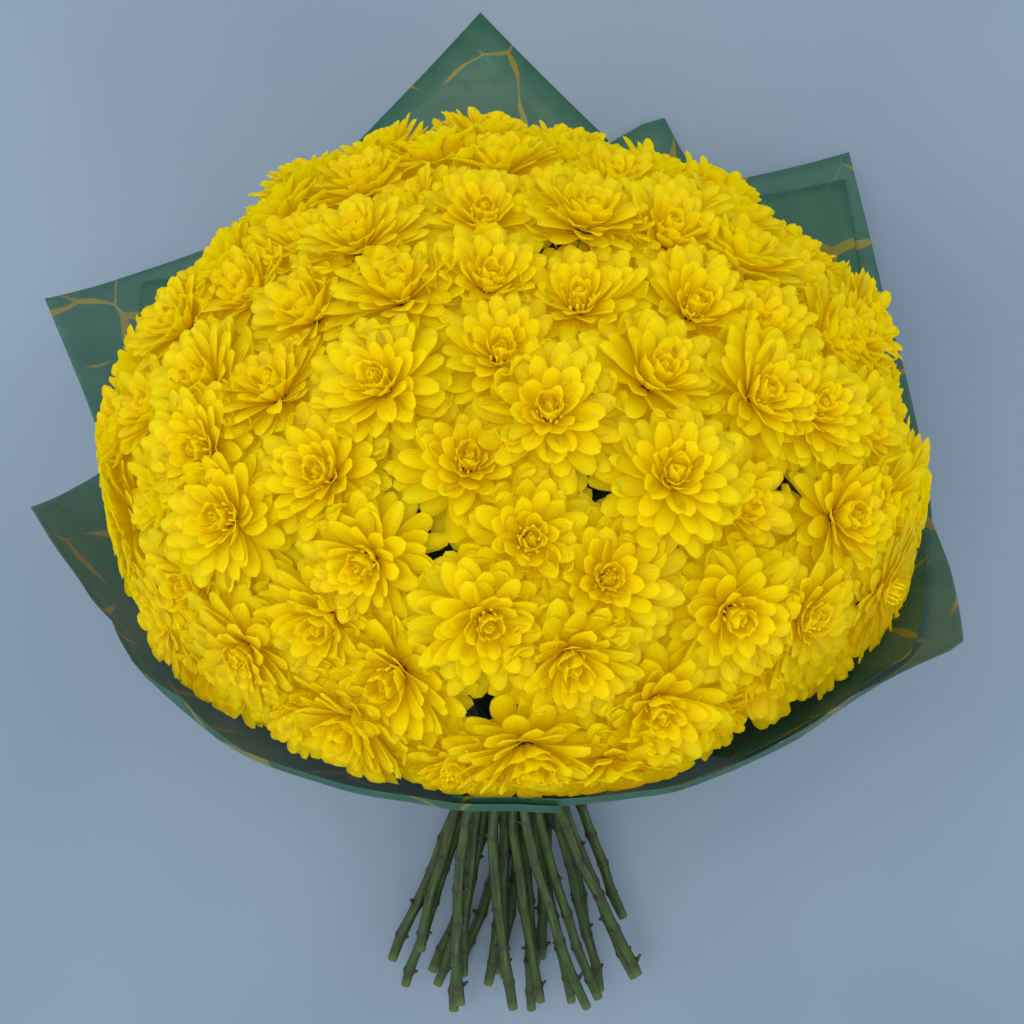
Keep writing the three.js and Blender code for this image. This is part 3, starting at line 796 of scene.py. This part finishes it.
# %% Tube helper
def add_tube(whole, centres, radii, sides, tints, uv_layer, tint_layer):
    """A closed tube through the centres, with a radius and a tint for each of them."""
    centres = np.asarray(centres, float)
    forward = unit(np.gradient(centres, axis=0))
    reference = np.array([0, 0, 1.0]) if abs(forward[:, 2]).max() < 0.9 else np.array([1.0, 0, 0])
    side = unit(np.cross(forward, reference))
    up = np.cross(side, forward)
    angle = 2 * math.pi * np.arange(sides) / sides
    lengths = np.concatenate([[0], np.cumsum(np.linalg.norm(np.diff(centres, axis=0), axis=1))])
    made = bmesh.ops.create_circle(whole, segments=sides, radius=1)
    ring = made["verts"]
    around = [e for v in ring for e in v.link_edges if e.other_vert(v) in ring]
    first_edges = edges = list(dict.fromkeys(around))
    rings = [ring]
    for _ in centres[1:]:
        out = bmesh.ops.extrude_edge_only(whole, edges=edges)["geom"]
        edges = [item for item in out if isinstance(item, bmesh.types.BMEdge)]
        edges = [e for e in edges if all(v in out for v in e.verts)]
        mates = {v: e.other_vert(v) for v in ring for e in v.link_edges if e.other_vert(v) in out}
        ring = [mates[v] for v in ring]
        rings.append(ring)
    for j, ring in enumerate(rings):
        for k, vert in enumerate(ring):
            offset = math.cos(angle[k]) * side[j] + math.sin(angle[k]) * up[j]
            vert.co = Vector((centres[j] + radii[j] * offset) * MM)
            vert[tint_layer] = (*tints[j], 0.0, 1.0)
    for rim in (first_edges, edges):
        bmesh.ops.contextual_create(whole, geom=rim)
    where = {v: (k, j) for j, ring in enumerate(rings) for k, v in enumerate(ring)}
    faces = {face for ring in rings for v in ring for face in v.link_faces}
    for face in faces:
        face.smooth = len(face.verts) == 4
        for loop in face.loops:
            k, j = where[loop.vert]
            loop[uv_layer].uv = (k / sides, lengths[j])


def new_tubes():
    """An empty mesh with the layers that tubes need."""
    whole = bmesh.new()
    return whole, whole.loops.layers.uv.new("stem"), whole.verts.layers.float_color.new("tint")


def tubes_to_mesh(whole, name):
    bmesh.ops.recalc_face_normals(whole, faces=whole.faces)
    return to_mesh(whole, name)


print("tube helper ready")

# %% [markdown]
# The stems follow the paths of the solids, with a slight kink at every joint and one or two short
# stubs where leaf stalks were torn off.

# %% Make the stems
STEM_SIDES = 10
JOINT_SPACING = 24.0     # real joints on such a stem are 20 to 40 mm apart
JOINT_SWELL = 0.95
KINK = 1.3
JOINT_HALF = 2.6
TIGHT_FROM = -24.0       # from here to the blooms the stems are bound straight and even


def make_stem(i):
    random = np.random.RandomState(300 + i)
    whole, uv_layer, tint_layer = new_tubes()
    start, top = cut_distance(i), fork_distance(i)
    first_joint = start + random.uniform(8, 20)
    joints = np.arange(first_joint, TIGHT_FROM, JOINT_SPACING * random.uniform(0.85, 1.15))
    s = np.unique(np.concatenate([
        [start], joints, joints - JOINT_HALF, joints + JOINT_HALF,
        np.arange(start + 6, TIGHT_FROM, 12), np.arange(TIGHT_FROM, top, 9), [top],
    ]))
    s = s[np.concatenate([[True], np.diff(s) > 1.2])]
    near = np.exp(-((s[:, None] - joints[None]) / 2.2) ** 2).max(1)
    centres = stem_point(i, s)
    loose = smoothstep(-s, 40, 110)
    kinks = random.uniform(-KINK, KINK, (2, len(joints) + 2))
    knots = np.concatenate([[start], joints, [TIGHT_FROM]])
    centres = centres + (np.interp(s, knots, kinks[0]) * loose)[:, None] * np.array([1.0, 0, 0])
    centres = centres + (np.abs(np.interp(s, knots, kinks[1])) * loose)[:, None] * spine_up(s)
    thick = STEM_RADIUS - 0.25 + 0.25 * np.interp(s, knots, random.uniform(-0.6, 0.6, len(knots)))
    radii = np.where(s > TIGHT_FROM, STEM_RADIUS, thick + JOINT_SWELL * near * loose.clip(0.3, 1))
    radii[0] *= 0.97
    tints = np.stack([0.75 * near * (s < TIGHT_FROM), (s <= start + 0.1).astype(float)], -1)
    add_tube(whole, centres, radii, STEM_SIDES, tints, uv_layer, tint_layer)
    for n, joint in enumerate(joints):
        if joint > -60 or random.uniform() < 0.25:
            continue
        centre = stem_point(i, joint)
        forward = unit(stem_point(i, joint + 1) - stem_point(i, joint - 1))
        side = unit(np.cross(forward, [0, 0, 1.0]))
        turn = n * 2.4 + random.uniform(-0.4, 0.4)
        out = math.cos(turn) * side + abs(math.sin(turn)) * np.cross(side, forward)
        reach = random.uniform(2.0, 4.8)
        course = unit(out + forward * 0.8)
        stub = centre + out * (STEM_RADIUS - 0.4)
        points = [stub - course * 1.0, stub + course * 0.55 * reach, stub + course * reach]
        add_tube(whole, points, [1.5, 1.0, 0.75], 6, [(0.3, 0), (0.6, 0), (0.9, 0.1)], uv_layer, tint_layer)
    return tubes_to_mesh(whole, "stem")


for i in range(STEM_COUNT):
    name = f"stem_{i + 1:02d}"
    finish_piece(make_stem(i), name + "_stalk", stem_material, "stem", name)
print("made", STEM_COUNT, "stems")

# %% [markdown]
# Under every bloom sits a small green cup of bracts, and a thin pedicel leads from there to the
# top of the stem. They hardly show, but they carry the blooms and close the gaps between them.

# %% Make the pedicels
PEDICEL_RADIUS = 1.3
FORK_SHARE = 0.42
CALYX_DEPTH = 8.0
CALYX_ASIDE = 3.0
CUP_PROFILE = [(13.5, 1.5), (12.5, 4.0), (10.5, 6.6), (8.0, 8.0), (5.5, 8.6)]    # depth under a bloom, radius


def under_bloom(seat, origin):
    """Where a pedicel ends inside its bloom."""
    way = origin - seat["point"]
    sideways = unit(way - seat["facing"] * (way @ seat["facing"]))
    return seat["point"] - CALYX_DEPTH * seat["facing"] + CALYX_ASIDE * sideways


def make_pedicels(i):
    whole, uv_layer, tint_layer = new_tubes()
    top = fork_distance(i)
    foot = stem_point(i, top)
    forward = unit(stem_point(i, top + 1) - stem_point(i, top - 1))
    own = [seat for seat in seats if seat["stem"] == i]
    own.sort(key=lambda seat: -float(unit(seat["point"] - foot) @ forward))
    leader_end = under_bloom(own[0], foot)
    for j, seat in enumerate(own):
        start = foot + (leader_end - foot) * FORK_SHARE * j / len(own)
        end = under_bloom(seat, start)
        t = np.linspace(0, 1, 7)
        bow = np.sin(math.pi * t)[:, None] * unit(forward - seat["facing"]) * (2.0 if j else 0.0)
        course = start + (end - start) * t[:, None] + bow
        radii = np.linspace(STEM_RADIUS if j == 0 else PEDICEL_RADIUS * 1.25, PEDICEL_RADIUS, 7)
        # The pedicel's slight brown tint is painted shade for the gaps between blooms.
        add_tube(whole, course, radii, 6, [(0.1, 0)] * 7, uv_layer, tint_layer)
        facing = seat["facing"]
        cup = [seat["point"] - facing * depth for depth, _ in CUP_PROFILE]
        radii = [radius * seat["size"] for _, radius in CUP_PROFILE]
        # The cup's brown tint is painted shade for the gaps between blooms.
        add_tube(whole, cup, radii, 10, [(0.2, 0)] * len(cup), uv_layer, tint_layer)
    return tubes_to_mesh(whole, "pedicels")


for i in range(STEM_COUNT):
    finish_piece(make_pedicels(i), f"spray_{i + 1:02d}_pedicels", stem_material, "stem")
print("made the pedicels of", STEM_COUNT, "sprays")

# %% [markdown]
# ## Wrapping film
#
# The wrap is a frosted grey-green film with gold veins printed on it. One layer lets the table
# shine through, and two look darker and greener. The film is given one constant opacity, so that
# the layers add up by themselves. The veins are the borders of a coarse cell pattern, about 50 mm
# across, that swell and fade along their length like the veins of marble. They are drawn on each
# sheet's own UV map, which is measured in metres along the sheet, so they stretch nowhere.

# %% Film material
VEIN_CELL = 0.052        # metres between veins
VEIN_WIDTH = 0.066       # share of a cell, from a vein's middle to its rim where it is widest
VEIN_FADE = 0.0105       # over which its rim fades

film_material, tree = new_material("Frosted wrapping film, gold veined")
sheet_place = add_node(tree, "ShaderNodeUVMap", uv_map="sheet")
cells = add_node(tree, "ShaderNodeMapping", {
    "Vector": sheet_place.outputs["UV"],
    "Scale": (1 / VEIN_CELL, 1 / VEIN_CELL, 1.0),
    "Location": (0.3, 0.55, 0.0),
})


def cell_noise(tree, scale, detail):
    """Noise at a scale given in cells of the film's pattern."""
    inputs = {"Vector": cells.outputs["Vector"], "Scale": scale, "Detail": detail}
    return add_node(tree, "ShaderNodeTexNoise", inputs)


waver = cell_noise(tree, 1.1, 1.0)
aside = add_node(
    tree, "ShaderNodeVectorMath", {0: waver.outputs["Color"], 1: (0.35, 0.35, 0.0)}, operation="MULTIPLY",
)
bent = add_node(
    tree, "ShaderNodeVectorMath", {0: cells.outputs["Vector"], 1: aside.outputs["Vector"]}, operation="ADD",
)
borders_between = add_node(
    tree, "ShaderNodeTexVoronoi", {"Vector": bent.outputs["Vector"], "Scale": 1.0, "Randomness": 1.0},
    feature="DISTANCE_TO_EDGE", voronoi_dimensions="2D",
)
swelling = cell_noise(tree, 1.6, 0.0)
vein_width = add_node(tree, "ShaderNodeMapRange", {
    "Value": swelling.outputs["Fac"], "From Min": 0.36, "From Max": 0.68, "To Max": VEIN_WIDTH,
})
inside = add_node(
    tree, "ShaderNodeMath", {0: vein_width.outputs["Result"], 1: borders_between.outputs["Distance"]},
    operation="SUBTRACT",
)
vein = add_node(tree, "ShaderNodeMapRange", {
    "Value": inside.outputs["Value"], "From Max": VEIN_FADE,
})
cloud = cell_noise(tree, 3.0, 4.0)
frost = add_ramp(tree, cloud.outputs["Fac"], [(0.3, "#265a42"), (0.7, "#346750")])
gleam = add_node(tree, "ShaderNodeMapRange", {"Value": vein.outputs["Result"], "To Min": 0.42, "To Max": 0.3})
crumple = cell_noise(tree, 4.0, 3.0)
set_surface(tree, {
    "Base Color": mix_colours(tree, vein.outputs["Result"], frost, linear("#857a10")),
    "Roughness": gleam.outputs["Result"],
    "IOR": 1.5,
    "Alpha": 0.69,
    "Normal": add_bump(tree, crumple.outputs["Fac"], 0.35, 0.003),
})
print("made", film_material.name)

# %% [markdown]
# ## The five sheets
#
# Every sheet follows one wrap: a short skirt below the ties, a gathered neck, a cone round the
# blooms and, beyond it, a brim that lies on the table behind and stands up in front. A sheet is
# known by the corners of its outer edge. Between two corners that edge was cut straight.

# %% Sheets and their section
FILM_PITCH = 1.3
FILM_LOOSENING = [1.8, 1, 1, 1.1, 2, 2.4, 2.8]
FILM_REST = 3.2
FILM_THICKNESS = 0.25
FILM_GATHER = 11.0
FILM_OPENING = 0.12
FILM_ROUNDING = 28.0
FILM_LEAST_RIM = 8.0
SKIRT_LENGTH = 44.0
SKIRT_RADIUS = 46.0
OUTERMOST = 3

# name: layer, corners as degrees round the dome and distance along the film
SHEETS = {
    "wrap_inner_sheet": (0, [
        (-157, 261), (-144.5, 312), (-112, 275), (-59, 322), (-47.5, 357), (-30, 274), (3, 243), (37, 259),
        (62, 246),
    ]),
    "wrap_outer_sheet": (1, [
        (-171.5, 254), (-156, 336), (-129, 311), (-94, 290), (-60, 337), (-49, 375), (-32, 297), (5.5, 245),
        (27.5, 268), (35.5, 285), (53, 276), (62, 258), (85, 245), (97, 245),
    ]),
    "wrap_front_sheet": (2, [
        (85, 245), (97, 246), (115, 244), (131, 260), (152.5, 243), (170, 281), (185, 251), (203, 239),
    ]),
    "wrap_side_sheet": (2, [(-94, 298), (-74, 359), (-71.5, 366), (-47, 268)]),
    "wrap_back_sheet": (3, [(-130, 278), (-111, 348), (-93.5, 426), (-78.5, 349), (-60, 283)]),
}
FLARE = [
    (-180, 50), (-150, 54), (-120, 46), (-105, 44), (-75, 44), (-60, 46), (-30, 50), (0, 48), (29, 46),
    (37, 44), (50, 22), (62, 18), (75, 8), (90, 4), (135, 4), (151, 12), (169, 36), (183, 50), (210, 54),
]
CONE_LENGTH = math.hypot(FILM_BEND_ALONG, FILM_BEND_RADIUS - FILM_NECK)
CONE_SHARE = (FILM_BEND_RADIUS - FILM_NECK) / CONE_LENGTH


def rim_distance(corners, degrees):
    """How far the sheet reaches at one place round the dome, with straight edges between corners."""
    i = int(np.clip(next((n for n, c in enumerate(corners) if c[0] >= degrees), 0), 1, len(corners) - 1))
    (a0, d0), (a1, d1) = corners[i - 1], corners[i]
    whole = math.radians(a1 - a0) * CONE_SHARE
    part = np.clip(math.radians(degrees - a0) * CONE_SHARE, 0, whole)
    return math.sin(whole) / (math.sin(whole - part) / d0 + math.sin(part) / d1)


def film_section(degrees, rim):
    """The section of the wrap at one place round the dome, as rows of (along, radius)."""
    bend = min(1, (rim - FILM_LEAST_RIM) / CONE_LENGTH)
    flare = math.radians(np.interp(degrees, *zip(*FLARE)))

    def on_cone(t):
        return np.array([FILM_BEND_ALONG * t, FILM_NECK + (FILM_BEND_RADIUS - FILM_NECK) * t])

    beyond = rim - bend * CONE_LENGTH
    way = np.array([math.cos(flare), math.sin(flare)])
    return np.array([
        [-SKIRT_LENGTH, SKIRT_RADIUS], [-FILM_GATHER, FILM_NECK], [FILM_GATHER, FILM_NECK],
        on_cone(FILM_OPENING), on_cone(bend), on_cone(bend) + way * min(FILM_ROUNDING, beyond / 2),
        on_cone(bend) + way * beyond,
    ])


print("length of the cone", round(CONE_LENGTH, 1), "mm")

# %% [markdown]
# Each sheet starts as a flat grid. Its columns are moved round the dome, a few degrees apart, and
# its rows along the section, whose bends are rounded. Pleats run out of the gathered neck, and
# the brim waves a little. The film is then given its thickness by a Solidify modifier.

# %% Make the sheets
COLUMN_DEGREES = 2.4
ROWS_BETWEEN = [7, 4, 4, 14, 5, 6]
ROUNDING_REACH = 9.0
# distance along the film, and how far the pleats and the wave of the brim stand out there
PLEATS = [
    (-55, 4.5), (-30, 2.2), (-11, 0.35), (11, 0.25), (40, 2.6), (100, 2.2), (190, 1.0), (240, 0.6),
    (420, 0.6),
]
BRIM_WAVE = [(0, 0.0), (200, 0.0), (260, 1.6), (420, 3.0)]


def smooth_section(section, loosening):
    """Even places along a section with rounded bends: rows of (along, radius, distance, looseness)."""
    lengths = np.concatenate([[0], np.cumsum(np.linalg.norm(np.diff(section, axis=0), axis=1))])
    places = [lengths[0]]
    for start, end, count in zip(lengths[:-1], lengths[1:], ROWS_BETWEEN):
        places += list(np.linspace(start, end, count + 1)[1:])
    places = np.array(places)
    reach = np.minimum(ROUNDING_REACH, np.minimum(places, lengths[-1] - places))
    rounded = 0
    for shift in (-1, -0.5, 0, 0.5, 1):
        at = places + shift * reach
        rounded = rounded + np.stack([np.interp(at, lengths, section[:, n]) for n in (0, 1)], -1) / 5
    loose = np.interp(places, lengths, loosening)
    return rounded, places - lengths[2], loose


def pleat_height(angle, distance):
    """How far the film stands out from its section."""
    crinkle = np.sin(23 * angle + 1.7 * np.sin(4 * angle))
    crinkle = crinkle + 0.4 * np.sin(41 * angle + 2.0 * np.sin(5 * angle) + 1)
    wave = 1 + np.sin(7 * angle + 0.02 * distance + 0.8)
    return np.interp(distance, *zip(*PLEATS)) * crinkle * 0.55 + np.interp(distance, *zip(*BRIM_WAVE)) * wave


def make_sheet(name):
    layer, corners = SHEETS[name]
    degrees = []
    for (a0, _), (a1, _) in zip(corners[:-1], corners[1:]):
        degrees += list(np.linspace(a0, a1, max(2, math.ceil((a1 - a0) / COLUMN_DEGREES)) + 1)[:-1])
    degrees = np.array(degrees + [corners[-1][0]])
    rows = sum(ROWS_BETWEEN) + 1
    sheet = bmesh.new()
    bmesh.ops.create_grid(sheet, x_segments=len(degrees) - 1, y_segments=rows - 1, size=0.5)
    uv_layer = sheet.loops.layers.uv.new("sheet")
    columns = []
    for angle_degrees in degrees:
        section = film_section(angle_degrees, rim_distance(corners, angle_degrees))
        line, distance, loose = smooth_section(section, FILM_LOOSENING)
        tangent = unit(np.gradient(line, axis=0))
        outward = np.stack([-tangent[:, 1], tangent[:, 0]], -1)
        angle = math.radians(angle_degrees)
        line = line + outward * (layer * FILM_PITCH * loose + pleat_height(angle, distance))[:, None]
        points = around_spine(line[:, 0], line[:, 1] * math.cos(angle), line[:, 1] * math.sin(angle))
        lowest = (OUTERMOST - layer) * FILM_REST + 0.4
        points[:, 2] = np.maximum(points[:, 2], lowest)
        columns.append((points, distance))
    for vert in sheet.verts:
        column = round((vert.co.x + 0.5) * (len(degrees) - 1))
        row = round((vert.co.y + 0.5) * (rows - 1))
        points, distance = columns[column]
        flat_angle = math.radians(degrees[column]) * CONE_SHARE
        r = max(distance[row] + 37.0, 8.0)
        vert.co = Vector(points[row] * MM)
        for loop in vert.link_loops:
            loop[uv_layer].uv = (r * math.cos(flat_angle) * MM, r * math.sin(flat_angle) * MM)
    for face in sheet.faces:
        face.smooth = True
    area = sum(face.calc_area() for face in sheet.faces)
    return to_mesh(sheet, name), area


for name in SHEETS:
    mesh, area = make_sheet(name)
    sheet = finish_piece(mesh, name + "_film", film_material, "film", name)
    solidify = sheet.modifiers.new("thickness", "SOLIDIFY")
    solidify.thickness = FILM_THICKNESS * MM
    solidify.offset = 0
    print(name, "area", round(area, 3), "m2, faces", len(mesh.polygons))

# %% [markdown]
# ## Ties
#
# Natural twine holds the stems, wound three times round them at the binding, and a woven ribbon
# holds the film over it. The twine is two twisted strands, about 1 mm thick each, which a
# slanting stripe of bump shows. The ribbon is satin: fine ribs across it, with a soft sheen.

# %% Tie materials
twine_material, tree = new_material("Jute twine, two ply")
place = add_node(tree, "ShaderNodeUVMap", uv_map="stem")
strand = add_node(tree, "ShaderNodeMapping", {"Vector": place.outputs["UV"], "Scale": (2.0, 0.35, 1.0)})
strand_wave = add_node(
    tree, "ShaderNodeTexWave", {"Vector": strand.outputs["Vector"], "Scale": 1.0}, bands_direction="DIAGONAL",
)
fibre = add_node(tree, "ShaderNodeTexNoise", {"Vector": place.outputs["UV"], "Scale": 6.0, "Detail": 5.0})
set_surface(tree, {
    "Base Color": add_ramp(tree, fibre.outputs["Fac"], [(0.3, "#7d6540"), (0.7, "#b99c6b")]),
    "Roughness": 0.9,
    "Normal": add_bump(tree, strand_wave.outputs["Fac"], 0.8, 0.0005),
})

ribbon_material, tree = new_material("Satin ribbon, woven polyester")
place = add_node(tree, "ShaderNodeTexCoord")
ribs = add_node(
    tree, "ShaderNodeTexWave", {"Vector": place.outputs["Object"], "Scale": 180.0, "Distortion": 0.5},
    bands_direction="X",
)
set_surface(tree, {
    "Base Color": add_ramp(tree, ribs.outputs["Fac"], [(0.2, "#2c5244"), (0.8, "#3f6a58")]),
    "Roughness": 0.38,
    "Sheen Weight": 0.3,
    "Normal": add_bump(tree, ribs.outputs["Fac"], 0.3, 0.0003),
})
print("made", twine_material.name, "and", ribbon_material.name)

# %% [markdown]
# Both ties are built round the binding point, square to the spine: the twine as one long tube
# wound round the stems, and the ribbon as a short band, a little wavy, just outside the film.

# %% Make the ties
TIE_ROOM = 0.9
TWINE_RADIUS = 0.95
TWINE_TURNS = 3
RIBBON_WIDTH = 10.0
SEAM_GAP = 0.3

forward, up = spine_forward(0.0), spine_up(0.0)
right = np.array([1.0, 0, 0])


def around_binding(turn, radius, along):
    """Points round the binding point, on a circle square to the spine."""
    turn, radius, along = np.broadcast_arrays(turn, radius, along)
    return (BINDING + along[..., None] * forward
            + (radius * np.cos(turn))[..., None] * right + (radius * np.sin(turn))[..., None] * up)


bundle = STEM_SPACING * math.sqrt(STEM_COUNT - 0.5) * (1 - BINDING_PINCH) + STEM_RADIUS
whole, uv_layer, tint_layer = new_tubes()
turns = np.linspace(0, 2 * math.pi * TWINE_TURNS, 36 * TWINE_TURNS + 1)
helix = around_binding(turns, bundle + TIE_ROOM + TWINE_RADIUS, np.linspace(-2, 2, len(turns)))
add_tube(whole, helix, [TWINE_RADIUS] * len(turns), 8, [(0, 0)] * len(turns), uv_layer, tint_layer)
finish_piece(tubes_to_mesh(whole, "twine"), "stem_tie_twine", twine_material, "twine", "stem_tie")

film_outside = FILM_NECK + OUTERMOST * FILM_PITCH + 0.4
band = bmesh.new()
bmesh.ops.create_cone(band, cap_ends=False, segments=96, radius1=1, radius2=1, depth=1)
bmesh.ops.subdivide_edges(
    band, edges=[e for e in band.edges if abs(e.verts[0].co.z - e.verts[1].co.z) > 0.5], cuts=5,
)
for vert in band.verts:
    turn = math.atan2(vert.co.y, vert.co.x)
    along = vert.co.z * RIBBON_WIDTH
    waves = 0.22 * math.sin(9 * turn + along) + 0.15 * math.sin(2.2 * along + 3 * turn)
    radius = film_outside + SEAM_GAP + 0.45 + waves
    vert.co = Vector(around_binding(turn, radius, along) * MM)
for face in band.faces:
    face.smooth = True
bmesh.ops.recalc_face_normals(band, faces=band.faces)
ribbon = finish_piece(to_mesh(band, "ribbon"), "wrap_tie_ribbon", ribbon_material, "ribbon", "wrap_tie")
solidify = ribbon.modifiers.new("thickness", "SOLIDIFY")
solidify.thickness = 0.4 * MM
solidify.offset = 1
print("made the ties")

# %% [markdown]
# ## Table and light
#
# The bouquet lies on a smooth, matte, pale blue-grey surface under a large soft light almost
# straight above it, a little to the left, so its shadow falls short and soft to the right. Light
# that has bounced twice between petals is nearly spent, and following it no further keeps the
# render short.

# %% Table
table_material, tree = new_material("Matte painted board, blue-grey")
place = add_node(tree, "ShaderNodeTexCoord")
drift = add_node(tree, "ShaderNodeTexNoise", {"Vector": place.outputs["Object"], "Scale": 2.5, "Detail": 2.0})
paint = add_ramp(tree, drift.outputs["Fac"], [(0.3, "#748594"), (0.7, "#8193a0")])
set_surface(tree, {"Base Color": paint, "Roughness": 0.8})

top = bmesh.new()
bmesh.ops.create_grid(top, x_segments=1, y_segments=1, size=2.5)
table_mesh = to_mesh(top, "table")
table_mesh.materials.append(table_material)
table = bpy.data.objects.new("table", table_mesh)
bpy.context.scene.collection.objects.link(table)

# %% [markdown]
# The room gives an even, slightly blue light, and one square lamp gives the soft shadow.

# %% Light
world = bpy.data.worlds.new("room")
world.use_nodes = True
world.node_tree.nodes["Background"].inputs["Color"].default_value = linear("#dfe6f0")
world.node_tree.nodes["Background"].inputs["Strength"].default_value = 1.12
bpy.context.scene.world = world

cycles = bpy.context.scene.cycles
cycles.use_adaptive_sampling = True
cycles.adaptive_threshold = 0.05
cycles.max_bounces = 5
cycles.diffuse_bounces = 2
cycles.glossy_bounces = 1
cycles.caustics_reflective = False
cycles.caustics_refractive = False

lamp_data = bpy.data.lights.new("soft light", "AREA")
lamp_data.size = 1.2
lamp_data.energy = 19.0
lamp = bpy.data.objects.new("soft light", lamp_data)
lamp.location = (-0.3, 0.15, 2.0)
lamp.rotation_euler = Vector((0.3, -0.15, -2.0)).to_track_quat("-Z", "Y").to_euler()
bpy.context.scene.collection.objects.link(lamp)
print("table and light ready")
